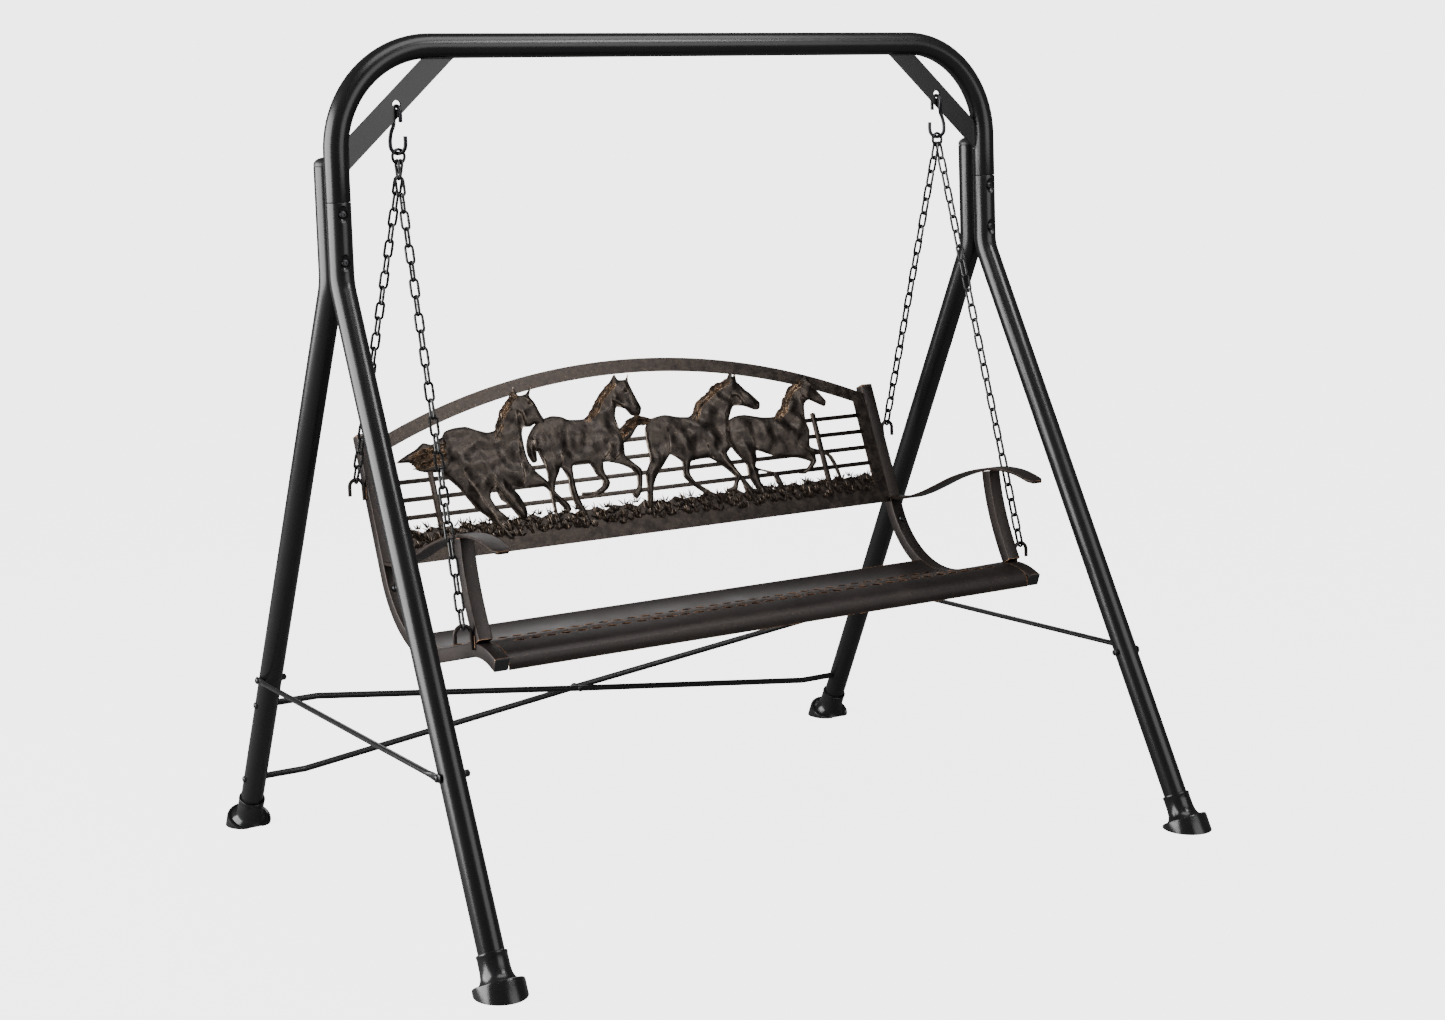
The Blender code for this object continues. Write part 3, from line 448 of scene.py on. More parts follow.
plastic_gloss = moulded("foot_plastic", (0.0075, 0.0075, 0.008), 0.13)
plastic_satin = moulded("cap_plastic", (0.014, 0.014, 0.015), 0.33)
DOME = [(24.4, 0.0), (24.4, 3.0), (24.0, 5.5), (22.6, 8.6), (19.6, 12.0), (15.0, 14.9), (9.0, 16.7),
        (3.0, 17.3)]
for side, s in SIDES:
    profile = [(0.0, -16.0), (22.4, -16.0), (22.4, -0.4), (23.6, 0.0)] + DOME + [(0.0, 17.4)]
    cap = turned("rear_leg_cap_" + side, profile, (s * LEG_X, REAR_Y, REAR_TOP_Z + 0.6), (0, 0, 1))
    cap.data.materials.append(plastic_satin)
    place_on(cap, "stand", "cap_plastic", "leg_cap_" + side)


# Feet: a moulded cup round each tube end on a wide round base, cut level with the ground, with a rolled
# collar at the mouth and radial webs that stiffen the cup.
FOOT_BASE_R = 48.4
WEBS = 12
for side, s in SIDES:
    for row in ("front", "rear"):
        ground, axis = leg_axis(row, s)
        profile = [(0.0, -60.0), (FOOT_BASE_R - 1.0, -60.0), (FOOT_BASE_R, -40.0), (FOOT_BASE_R, 17.0),
                   (FOOT_BASE_R - 0.8, 19.6), (FOOT_BASE_R - 3.0, 21.2), (FOOT_BASE_R - 5.0, 21.4),
                   (FOOT_BASE_R - 6.5, 20.0), (38.0, 20.0), (32.5, 26.0), (29.6, 33.0), (28.3, 44.0),
                   (28.0, 68.0),
                   (28.6, 69.0), (28.9, 71.0), (28.6, 73.2), (27.6, 74.0), (25.6, 74.0), (25.4, 72.0),
                   (25.4, 14.0), (0.0, 14.0)]
        foot = turned("foot_cup_" + row + "_" + side, profile, ground, axis, 64)
        out = axis.orthogonal().normalized()
        webs = []
        for k in range(WEBS):
            spoke = Matrix.Rotation(2 * math.pi * (k + 0.5) / WEBS, 3, axis) @ out
            flat = [(27.2, 18.0), (45.5, 18.0), (45.2, 21.4), (40.0, 27.5), (33.5, 36.0), (29.5, 52.0),
                    (27.2, 60.0)]
            edge = axis.cross(spoke) * 1.3
            web = bar("web", flat, [ground - edge, ground + edge], over=spoke)
            # The outline's first axis is the spoke and its second the leg.
            webs.append(web)
        foot = join("foot_cup_" + row + "_" + side, [foot] + webs)
        edit(foot)
        bpy.ops.mesh.select_all(action="SELECT")
        bpy.ops.mesh.bisect(plane_co=(0, 0, 0.00002), plane_no=(0, 0, 1), use_fill=True, clear_inner=True)
        done(foot)
        foot.data.materials.append(plastic_gloss)
        place_on(foot, "stand", "foot_plastic", f"foot_{row}_{side}")


# Bolts of the stand: blackened button-head bolts with a round socket, and hexagon nuts on a turned washer.
def blackened(name, shade, bright, rough):
    """Blackened steel: dark oxide with brighter rubbed spots and fine machining grain."""
    made, shader, place = finish(name)
    cloud = grain(place, 90.0, 5.0)
    worn = grain(place, 400.0, 4.0, 0.7).between(0.56, 0.74)
    colour = (worn * 0.6).tint(cloud.tint(shade, tuple(c * 1.8 for c in shade)), bright)
    shader.inputs["Metallic"].default_value = 0.85
    return set_finish(made, shader, colour, rough + cloud * 0.15 - worn * 0.08, grain(place, 1200.0, 2.0),
                      0.15, 0.0004)


bolt_steel = blackened("bolt_steel", (0.035, 0.035, 0.037), (0.22, 0.215, 0.21), 0.27)
SHANK_R = 4.0


def bolt(name, head, tip, head_r, head_h, nut_at=None, nut_r=7.0, nut_h=6.0):
    head, tip = Vector(head), Vector(tip)
    line = (tip - head).normalized()
    length = (tip - head).length
    crown = [(0.0, 2.2), (2.4, 2.2), (2.7, 0.3), (head_r * 0.5, 0.15), (head_r * 0.74, 0.9),
             (head_r * 0.92, 2.4), (head_r, head_h - 0.9), (head_r, head_h), (SHANK_R, head_h)]
    if nut_at is None:
        stem = [(SHANK_R, length - 1.0), (SHANK_R - 0.8, length), (0.0, length)]
        return turned(name, crown + stem, head, line, 24)
    stem = [(SHANK_R, nut_at - 1.3), (nut_r + 1.2, nut_at - 1.3), (nut_r + 1.2, nut_at), (SHANK_R, nut_at)]
    turn = nut_at + nut_h
    while turn + 1.2 < length:
        stem += [(SHANK_R - 0.1, turn), (SHANK_R - 0.6, turn + 0.6)]
        turn += 1.2
    stem += [(SHANK_R - 0.8, length), (0.0, length)]
    shank = turned(name, crown + stem, head, line, 24)
    nut = bar("nut", ring(nut_r, 6), [head + line * nut_at, head + line * (nut_at + nut_h)],
              over=(0, 0, 1) if abs(line.z) < 0.9 else (1, 0, 0), rim=0.7)
    return join(name, [shank, nut])


def stand_bolt(piece, node):
    piece.data.materials.append(bolt_steel)
    place_on(piece, "stand", "bolt_steel", node)


for side, s in SIDES:
    x = s * LEG_X
    front, back = FRONT_Y - TUBE_R, REAR_Y + TUBE_R
    for word, z in zip(("upper", "lower"), DIMPLE_Z):
        stand_bolt(bolt(f"leg_screw_{word}_{side}", (x, front + 0.6, z), (x, back + 12, z), 8.0, 5.0,
                        back - front + 0.8, 7.5), f"leg_bolt_{word}_{side}")


# Side braces: one thin rod each side, hammered flat at both ends and bolted to the outer faces of the legs.
BRACE_Z = {"front": 353.0, "rear": 361.0}


def leg_at(row, s, z):
    ground, axis = leg_axis(row, s)
    return ground + axis * (z / axis.z)


def flattened(name, start, end, marks, lift):
    """A round rod whose ends are squeezed: each mark is (distance, thickness, width), as half sizes."""
    line = (end - start).normalized()
    length = (end - start).length
    marks = marks + [(length - a, b, c) for a, b, c in reversed(marks)]
    at = [(start + line * a + lift) * MM for a, b, c in marks]
    deselect()
    bpy.ops.mesh.primitive_circle_add(vertices=24, radius=MM, location=at[0],
                                      rotation=line.to_track_quat("Z", "X").to_euler())
    piece = bpy.context.object
    bpy.ops.object.transform_apply()
    edit(piece)
    bpy.ops.mesh.select_all(action="SELECT")
    size = (1.0, 1.0)
    for k, (a, thick, wide) in enumerate(marks):
        if k:
            bpy.ops.mesh.extrude_region_move(TRANSFORM_OT_translate={"value": at[k] - at[k - 1]})
        bpy.ops.transform.resize(value=(thick / size[0], 1.0, wide / size[1]), center_override=at[k])
        size = (thick, wide)
    bpy.ops.mesh.select_all(action="SELECT")
    bpy.ops.mesh.fill_holes(sides=0)
    bpy.ops.mesh.normals_make_consistent(inside=False)
    piece.name = name
    return done(piece)


SQUEEZE = [(-11.0, 1.6, 3.0), (-10.4, 1.9, 6.0), (-8.0, 2.0, 8.0), (20.0, 2.0, 8.0), (26.0, 2.6, 7.6),
           (34.0, 3.9, 6.6), (42.0, 5.2, 5.8), (48.0, 5.6, 5.6)]
for side, s in SIDES:
    ends = {}
    for row in ("front", "rear"):
        at = leg_at(row, s, BRACE_Z[row])
        ends[row] = Vector((at.x + s * (TUBE_R + 1.4), at.y, at.z))
        x = ends[row].x
        stand_bolt(bolt(f"side_brace_screw_{row}_{side}", (x + s * 8.6, at.y, at.z),
                        (at.x - s * (TUBE_R + 11), at.y, at.z),
                        7.5, 4.5, 2 * TUBE_R + 10.2, 7.0, 9.0), f"side_brace_bolt_{row}_{side}")
    rod = flattened("side_brace_rod_" + side, ends["front"], ends["rear"], SQUEEZE, Vector((s * 2.0, 0, 0)))
    rod.data.materials.append(coat_black)
    place_on(rod, "stand", "powder_coat_black", "side_brace_" + side)


# Cross braces: two rods between the rear legs. Each has a short level end, bolted end-on through the leg,
# and they pass one behind the other in the middle, where a third bolt ties them.
CROSS_R = 7.0
CROSS_HIGH, CROSS_LOW = 300.0, 117.0
CROSS_END = 92.0
CROSS_SHIFT = 9.0
for label, low_side in (("a", 1), ("b", -1)):
    high, low = leg_at("rear", -low_side, CROSS_HIGH), leg_at("rear", low_side, CROSS_LOW)
    shift = -CROSS_SHIFT if label == "a" else CROSS_SHIFT
    reach_high, reach_low = abs(high.x) - TUBE_R - 0.3, abs(low.x) - TUBE_R - 0.3
    mid = (high + low) / 2 + Vector((0, shift, 0))
    mid.x = 0.0
    rod = bar("cross_brace_rod_" + label, ring(CROSS_R, 24),
              [(-low_side * reach_high, high.y, high.z),
               (-low_side * (reach_high - CROSS_END), high.y, high.z), mid,
               (low_side * (reach_low - CROSS_END), low.y, low.z), (low_side * reach_low, low.y, low.z)],
              (60.0, 400.0, 60.0), (0, 0, 1), rim=0.8, steps=2.0)
    rod.data.materials.append(coat_black)
    place_on(rod, "stand", "powder_coat_black", "cross_brace_" + label)
    for at, x_in, word in ((high, -low_side * reach_high, "upper"), (low, low_side * reach_low, "lower")):
        s = -1 if x_in < 0 else 1
        side = "left" if s < 0 else "right"
        stand_bolt(bolt(f"cross_screw_{word}_{side}", (s * (abs(at.x) + TUBE_R + 4.6), at.y, at.z),
                        (s * (abs(x_in) - 21), at.y, at.z), 7.5, 5.0), f"cross_bolt_{word}_{side}")
middle = (leg_at("rear", -1, CROSS_HIGH) + leg_at("rear", 1, CROSS_LOW)) / 2
stand_bolt(bolt("cross_screw_middle", (0, middle.y - CROSS_SHIFT - CROSS_R - 5.0, middle.z),
                (0, middle.y + CROSS_SHIFT + CROSS_R + 12, middle.z), 7.0, 5.0,
                2 * (CROSS_SHIFT + CROSS_R) + 5.2), "cross_bolt_middle")


# S-hooks and rings: bent black steel wire. The upper loop hooks through the gusset's hole, the lower one is
# turned towards the middle and holds the ring that both chains hang from.
HOOK_TOP_Z, HOOK_BOTTOM_Z = 1564.3, 1472.6
HOOK_R, HOOK_UPPER_R, HOOK_LOWER_R = 4.0, 13.0, 16.0
RING_R, RING_WIRE_R = 14.0, 3.0
RING_TURN = math.radians(10.0)


def wire(name, points, radius, sides=4, steps=6):
    """Round wire along one smooth curve through the points, with closed ends."""
    data = bpy.data.curves.new(name, "CURVE")
    data.dimensions = "3D"
    data.bevel_depth = radius * MM
    data.bevel_resolution = sides
    data.resolution_u = steps
    data.use_fill_caps = True
    line = data.splines.new("BEZIER")
    line.bezier_points.add(len(points) - 1)
    for knot, p in zip(line.bezier_points, points):
        knot.co = Vector(p) * MM
        knot.handle_left_type = knot.handle_right_type = "AUTO"
    piece = bpy.data.objects.new(name, data)
    bpy.context.scene.collection.objects.link(piece)
    deselect()
    piece.select_set(True)
    bpy.context.view_layer.objects.active = piece
    bpy.ops.object.convert(target="MESH")
    piece = bpy.context.object
    edit(piece)
    bpy.ops.mesh.select_all(action="SELECT")
    bpy.ops.mesh.remove_doubles(threshold=1e-6)
    bpy.ops.mesh.normals_make_consistent(inside=False)
    return done(piece)


hook_steel = blackened("hook_steel", (0.022, 0.022, 0.024), (0.12, 0.12, 0.12), 0.22)
chain_coat = powder_coat("chain_black", (0.008, 0.008, 0.0085), (0.014, 0.0135, 0.013), 0.20, 0.0)


def facing(degrees):
    return Vector((math.sin(math.radians(degrees)), -math.cos(math.radians(degrees)), 0.0))


for side, s in SIDES:
    centre = Vector((s * HANG_X, FRONT_Y, 0.0))
    upper, lower = facing(8.0) * -s, facing(42.0) * -s
    top, low = HOOK_TOP_Z - HOOK_UPPER_R, HOOK_BOTTOM_Z + HOOK_LOWER_R
    route = [centre + upper * HOOK_UPPER_R + Vector((0, 0, top - 19.0))]
    for k in range(0, 7):
        turn = math.pi * k / 6
        lift = Vector((0, 0, top + HOOK_UPPER_R * math.sin(turn)))
        route.append(centre + upper * HOOK_UPPER_R * math.cos(turn) + lift)
    route.append(centre - upper * 11.0 + Vector((0, 0, top - 14.0)))
    route.append(centre - (upper + lower) * 5.0 + Vector((0, 0, top - 25.0)))
    route.append(centre - lower * 13.2 + Vector((0, 0, top - 38.0)))
    for k in range(0, 7):
        turn = math.pi * k / 6
        lift = Vector((0, 0, low - HOOK_LOWER_R * math.sin(turn)))
        route.append(centre - lower * HOOK_LOWER_R * math.cos(turn) + lift)
    route.append(centre + lower * HOOK_LOWER_R + Vector((0, 0, low + 17.0)))
    hook = wire("s_hook_wire_" + side, route, HOOK_R, 5)
    hook.data.materials.append(hook_steel)
    place_on(hook, "s_hook_" + side, "hook_steel", "s_hook_" + side)
    deselect()
    ring_z = HOOK_BOTTOM_Z + HOOK_R + RING_WIRE_R + 0.95 - RING_R
    bpy.ops.mesh.primitive_torus_add(location=(s * HANG_X * MM, FRONT_Y * MM, ring_z * MM),
                                     rotation=(math.pi / 2, 0, RING_TURN), major_radius=RING_R * MM,
                                     minor_radius=RING_WIRE_R * MM, major_segments=48, minor_segments=16)
    loop = bpy.context.object
    loop.name = "ring_wire_" + side
    bpy.ops.object.transform_apply()
    loop.data.materials.append(hook_steel)
    done(loop)
    place_on(loop, "ring_" + side, "hook_steel", "ring_" + side)


# Chains: welded long links of round wire, black coated, every other one turned a quarter. The front chains
# have 27 links and the rear chains 21. One link is bent and welded, and the others are copies of it.
LINK_LONG, LINK_WIDE, LINK_WIRE_R = 38.2, 15.6, 2.7
FRONT_LINKS, REAR_LINKS = 27, 21
FRONT_HOOK, REAR_HOOK = Vector((676.0, -278.0, 579.0)), Vector((674.0, 207.0, 808.0))
CHAIN_TOP = HOOK_BOTTOM_Z + HOOK_R + RING_WIRE_R + 0.95 - 2 * RING_R
half_long, half_wide = LINK_LONG / 2, LINK_WIDE / 2
link = bar("link", ring(LINK_WIRE_R, 10),
           [(half_long * 0.02, 0, half_wide), (half_long, 0, half_wide), (half_long, 0, -half_wide),
            (-half_long, 0, -half_wide),
            (-half_long, 0, half_wide), (-half_long * 0.02, 0, half_wide)], (7.6, 7.6, 7.6, 7.6), (0, 1, 0),
           steps=22.5)
bead = turned("bead",
              [(0.0, -2.6), (1.8, -2.4), (2.9, -1.4), (3.35, 0.0), (2.9, 1.4), (1.8, 2.4), (0.0, 2.6)],
              (0, 0, half_wide), (1, 0, 0), 10)
link = join("link", [link, bead])
LINK_SLACK = 1.25
for row, count, low, shift in (("front", FRONT_LINKS, FRONT_HOOK, 3.7),
                               ("rear", REAR_LINKS, REAR_HOOK, -3.7)):
    for side, s in SIDES:
        top = Vector((s * (HANG_X + shift), FRONT_Y, CHAIN_TOP))
        bottom = Vector((s * low.x, low.y, low.z))
        line = (bottom - top).normalized()
        first = top - line * (RING_WIRE_R + 3.0 + LINK_SLACK)
        last = bottom + line * (4.0 + 3.0 + 0.5)
        pitch = ((last - first).length - LINK_LONG) / (count - 1)
        across = (Vector((1, 0, 0)) - line * line.x).normalized()
        fore = line.cross(across)
        row_of_links = []
        rng = random.Random(f"{row}{side}")
        for i in range(count):
            wide = fore if i % 2 == 0 else across
            if 0 < i < count - 1:
                wide = Matrix.Rotation(math.radians(rng.uniform(-4.0, 4.0)), 3, line) @ wide
            turn = Matrix((line, line.cross(wide) * -1, wide)).transposed()
            if turn.determinant() < 0:
                turn = Matrix((line, line.cross(wide), wide)).transposed()
            copy = bpy.data.objects.new("link", link.data.copy())
            bpy.context.scene.collection.objects.link(copy)
            centre = (first + line * (LINK_LONG / 2 + i * pitch)) * MM
            copy.data.transform(Matrix.Translation(centre) @ turn.to_4x4())
            row_of_links.append(copy)
        chain = join(f"chain_links_{row}_{side}", row_of_links)
        done(chain, 60.0)
        chain.data.materials.append(chain_coat)
        place_on(chain, f"chain_{row}_{side}", "chain_black", f"chain_{row}_{side}")
bpy.data.objects.remove(link)


# Bench side rails: one bent square steel tube a side. It runs down the back, round into the seat, rises to
# the front edge and curls down at the tip. The bronze coat is rubbed to copper along its long edges.
BACK_TILT, SEAT_RISE, FRONT_DROP = math.radians(22.0), math.radians(13.8), math.radians(22.0)
RAIL_X = 640.0
RAIL_W, RAIL_D = 30.0, 27.0
RAIL_TOP, SEAT_TURN = Vector((235.0, 895.0)), Vector((122.5, 617.0))
SEAT_ARC_R, FRONT_ARC_R = 195.0, 150.0
CREST_Y, TIP_Y = -262.0, -369.0


def box(wide, deep, corner, steps=3):
    """A rectangle with round corners."""
    points = []
    for k, (a, b) in enumerate(((1, 1), (-1, 1), (-1, -1), (1, -1))):
        for i in range(steps + 1):
            turn = math.pi / 2 * (k + i / steps)
            points.append((a * (wide / 2 - corner) + corner * math.cos(turn),
                           b * (deep / 2 - corner) + corner * math.sin(turn)))
    return points


def heading(angle):
    return Vector((math.cos(angle), math.sin(angle)))


def side_line(drop):
    """The rail's top face in (y, z) as corner points and bend radii, moved drop mm into the tube."""
    d1 = -heading(math.pi / 2 - BACK_TILT)
    d2 = heading(math.pi - SEAT_RISE)
    d3 = heading(math.pi + FRONT_DROP)
    reach = SEAT_ARC_R * math.tan((math.pi / 2 - BACK_TILT + SEAT_RISE) / 2)
    low = SEAT_TURN + d1 * reach
    turn = low + d2 * reach
    crest = turn + d2 * ((CREST_Y - turn.x) / d2.x)
    crest = crest + d2 * FRONT_ARC_R * math.tan((SEAT_RISE + FRONT_DROP) / 2)
    tip = crest + d3 * ((TIP_Y - crest.x) / d3.x)
    n1, n2, n3 = (Vector((-d.y, d.x)) for d in (d1, d2, d3))
    points = [RAIL_TOP + n1 * drop, low + (n1 + n2) / (1 + n1.dot(n2)) * drop,
              crest + (n2 + n3) / (1 + n2.dot(n3)) * drop, tip + n3 * drop]
    return points, (SEAT_ARC_R + drop, FRONT_ARC_R - drop)


def bronze(name, dark, brown, copper, edge=0.0022, patch=7.0, rub=0.85, rough=0.36, metallic=0.55,
           bump=0.16):
    """Antique bronze coat: near-black brown with cloudy patches, copper rubbed through on every edge, and a
    painted pale pewter highlight where an attribute marks a raised line, an outline or a blade tip."""
    made, shader, place = finish(name)
    cloud = grain(place, patch, 5.0, 0.6).between(0.35, 0.68)
    mottle = grain(place, 120.0, 6.0, 0.72)
    speck = grain(place, 330.0, 3.0, 0.7).between(0.60, 0.76)
    rounded = place.node("ShaderNodeBevel", {"samples": 6}, {"Radius": edge})
    flat = place.node("ShaderNodeNewGeometry", {}, {}, "Normal")
    bend = 1.0 - place.node("ShaderNodeVectorMath", {"operation": "DOT_PRODUCT"}, {0: rounded, 1: flat},
                            "Value")
    # Painted highlight: an attribute on the relief and the grass marks raised lines, outlines, strand crests
    # and blade tips, and these get a pale pewter painted highlight.
    highlight_marks = place.node("ShaderNodeAttribute", {"attribute_name": "highlight_mask"}, {}, "Fac")
    patchy = grain(place, 70.0, 5.0, 0.65).between(0.36, 0.60)
    dull = place.node("ShaderNodeAttribute", {"attribute_name": "dull"}, {}, "Fac")
    worn = bend.between(0.012, 0.11) * patchy * rub * (1.0 - dull)
    painted_highlight = highlight_marks * (0.35 + patchy * 0.65)
    colour = (cloud * 0.65 + mottle.between(0.45, 0.7) * 0.35).tint(dark, brown)
    colour = (speck * 0.30).tint(colour, copper)
    colour = worn.tint(colour, copper)
    # Painted highlight: pale pewter laid over the marked raised lines.
    colour = (painted_highlight * 0.75).tint(colour, (0.36, 0.29, 0.235))
    shader.inputs["Metallic"].default_value = metallic
    gloss = rough + cloud * 0.10 + mottle * 0.10 - worn * 0.06 - painted_highlight * 0.10
    return set_finish(made, shader, colour, gloss, mottle + grain(place, 600.0, 2.0) * 0.5, bump, 0.0007)


bench_bronze = bronze("bench_bronze", (0.018, 0.0140, 0.0130), (0.036, 0.027, 0.024), (0.52, 0.27, 0.14),
                      edge=0.0028, rub=1.0)
for side, s in SIDES:
    points, bends = side_line(RAIL_D / 2)
    rail = bar("side_rail_tube_" + side, box(RAIL_W, RAIL_D, 2.6), [(s * RAIL_X, p.x, p.y) for p in points],
               bends, steps=3.0)
    rail.data.materials.append(bench_bronze)
    place_on(rail, "bench", "bench_bronze", "side_rail_" + side)


# Rail end caps: moulded square plugs with a thin pillowed face, pushed into both ends of each side rail.
for side, s in SIDES:
    points, bends = side_line(RAIL_D / 2)
    for word, end, inner in (("top", points[0], points[1]), ("front", points[-1], points[-2])):
        out = (end - inner).normalized()
        tip = end + out * 2.9
        cap = bar(f"rail_end_{word}_{side}", box(RAIL_W, RAIL_D, 2.6),
                  [(s * RAIL_X, end.x + out.x * 0.3, end.y + out.y * 0.3), (s * RAIL_X, tip.x, tip.y)],
                  rim=1.0)
        cap.data.materials.append(plastic_satin)
        place_on(cap, "bench", "cap_plastic", f"rail_cap_{word}_{side}")


# Arms: one flat steel strip a side, laid on the post and butted to the upright, with a narrowed tip. Posts:
# a bent square tube that is welded under the arm and on the side rail.
ARM_X = 638.0
ARM_W, ARM_T = 40.0, 6.0
ARM_LINE = ((129.8, 640.0), (95.0, 643.0), (50.0, 651.0), (0.0, 667.0), (-50.0, 687.0), (-109.0, 711.0),
            (-178.0, 732.0),
            (-240.0, 744.0), (-290.0, 747.0), (-335.0, 743.0), (-378.0, 732.0), (-388.0, 729.0))
POST_W, POST_D = 30.0, 28.0
POST_TOP, POST_MID, POST_LOW = Vector((-226.0, 738.5)), Vector((-247.0, 645.0)), Vector((-292.0, 545.5))


def smooth_line(points, spacing):
    """A Catmull-Rom curve through the points, as points about one spacing apart."""
    points = [Vector(p) for p in points]
    ends = [points[0] * 2 - points[1]] + points + [points[-1] * 2 - points[-2]]
    out = []
    for i in range(1, len(ends) - 2):
        a, b, c, d = ends[i - 1:i + 3]
        count = max(1, round((c - b).length / spacing))
        for k in range(count):
            t = k / count
            out.append(0.5 * (2 * b + (c - a) * t + (2 * a - 5 * b + 4 * c - d) * t * t
                              + (3 * b - a - 3 * c + d) * t ** 3))
    return out + [points[-1]]


def strip(name, outline, x, line, widths=None):
    """An outline extruded from point to point of a smooth line in the (y, z) plane."""
    deselect()
    bpy.ops.mesh.primitive_circle_add(vertices=len(outline), radius=1.0)
    piece = bpy.context.object
    piece.name = name
    piece.data.name = name
    edit(piece)
    bpy.ops.mesh.select_all(action="SELECT")
    for i in range(1, len(line)):
        bpy.ops.mesh.extrude_region_move(TRANSFORM_OT_translate={"value": (0, 0, 1)})
    bpy.ops.object.mode_set(mode="OBJECT")
    size = len(outline)
    for i, p in enumerate(line):
        along = (line[min(i + 1, len(line) - 1)] - line[max(i - 1, 0)]).normalized()
        up = Vector((-along.y, along.x))
        wide = widths(p) if widths else 1.0
        for k, (a, b) in enumerate(outline):
            spot = p + up * b
            piece.data.vertices[i * size + k].co = Vector((x + a * wide, spot.x, spot.y)) * MM
    edit(piece)
    bpy.ops.mesh.select_all(action="SELECT")
    bpy.ops.mesh.fill_holes(sides=0)
    bpy.ops.mesh.normals_make_consistent(inside=False)
    return done(piece)


TIP_LONG, TIP_NARROW = 11.0, 0.42
ROOT_Y, ROOT_LONG, ROOT_NARROW = 95.0, 34.0, 0.24
POST_STEPS = 20
POST_TRIM_Z = 720.0
for side, s in SIDES:
    line = smooth_line(ARM_LINE, 8.0)

    def width_at(p):
        near_tip = max(0.0, ARM_LINE[-1][0] + TIP_LONG - p.x)
        root = max(0.0, min(1.0, (p.x - ROOT_Y) / ROOT_LONG))
        return 1.0 - near_tip / TIP_LONG * TIP_NARROW - root * ROOT_NARROW

    arm = strip("arm_strip_" + side, box(ARM_W, ARM_T, 1.5), s * ARM_X, line, width_at)
    arm.data.materials.append(bench_bronze)
    place_on(arm, "bench", "bench_bronze", "arm_" + side)
    knee = 2 * POST_MID - (POST_TOP + POST_LOW) / 2
    line = []
    for k in range(POST_STEPS + 1):
        t = k / POST_STEPS
        line.append(POST_TOP * (1 - t) ** 2 + knee * 2 * t * (1 - t) + POST_LOW * t ** 2)
    post = strip("arm_post_tube_" + side, box(POST_W, POST_D, 2.4), s * RAIL_X, line)
    bead = bar("bead", ring(1.8, 8),
               [(s * RAIL_X - 14.0, -221.0, 735.0), (s * RAIL_X + 14.0, -221.0, 735.0)], over=(0, 0, 1))
    post = join("arm_post_tube_" + side, [post, bead])
    for vert in post.data.vertices:
        y, z = vert.co.y / MM, vert.co.z / MM
        if z > POST_TRIM_Z:
            (y0, z0), (y1, z1) = ARM_LINE[6:8]
            vert.co.z = min(z, z0 + (z1 - z0) * (y - y0) / (y1 - y0) - ARM_T / 2 - 0.5) * MM
    post.data.materials.append(bench_bronze)
    place_on(post, "bench", "bench_bronze", "arm_post_" + side)


# Chain hooks: steel rod bent over at the top and welded up the outer face of each side rail.
ROD_R = 4.0
HOOK_STEEL_X = RAIL_X + RAIL_W / 2 + 4.5
for side, s in SIDES:
    for row, hook, foot, drop in (("front", FRONT_HOOK, 531.0, 32.0), ("rear", REAR_HOOK, 764.0, 34.0)):
        reach = hook.x - HOOK_STEEL_X
        foot_y = hook.y - 6.0
        rod = bar(f"chain_hook_rod_{row}_{side}", ring(ROD_R, 16),
                  [(s * HOOK_STEEL_X, foot_y, foot), (s * HOOK_STEEL_X, hook.y, hook.z),
                   (s * (hook.x + reach), hook.y, hook.z),
                   (s * (hook.x + reach), hook.y, hook.z - drop)], (reach * 0.98, reach * 0.98), (0, 1, 0),
                   rim=0.8)
        weld_x = s * (RAIL_X + RAIL_W / 2 + 1.0)
        beads = [bar("bead", ring(1.7, 8),
                     [(weld_x, foot_y + e * 4.4, foot + 4), (weld_x, foot_y + e * 4.4, foot + 27)])
                 for e in (-1, 1)]
        rod = join(f"chain_hook_rod_{row}_{side}", [rod] + beads)
        rod.data.materials.append(bench_bronze)
        place_on(rod, "bench", "bench_bronze", f"chain_hook_{row}_{side}")


# Seat tubes and panel bolts: two square tubes tie the side rails under the seat, and one dome-head bolt a
# side goes through each upright under the arm.
for word, y, z in (("front", -322.0, 524.0), ("rear", -40.0, 479.6)):
    tube = bar("seat_tie_" + word, box(25.0, 20.0, 2.0), [(-624.0, y, z), (624.0, y, z)], over=(0, 1, 0))
    tube.data.materials.append(bench_bronze)
    place_on(tube, "bench", "bench_bronze", "seat_tube_" + word)
for side, s in SIDES:
    inward = Vector((0, 0.86, -0.51)).normalized()
    spot = Vector((s * RAIL_X, 108.8, 591.2))
    screw = bolt("rail_screw_" + side, spot - inward * 5.9, spot + inward * 11, 7.5, 5.0)
    screw.data.materials.append(bolt_steel)
    place_on(screw, "bench", "bolt_steel", "rail_bolt_" + side)


# Seat: one steel sheet, pierced all over with eye-shaped slots in staggered rows, curved between the side
# rails and rolled down over the front tube. The slots are cut clean through, and the coat is rubbed to
# copper along their edges.
SEAT_HALF = 624.0
SEAT_T = 1.6
SLOT_COLUMNS = 36
SLOT_EDGE = 22.0
points, bends = side_line(1.2)


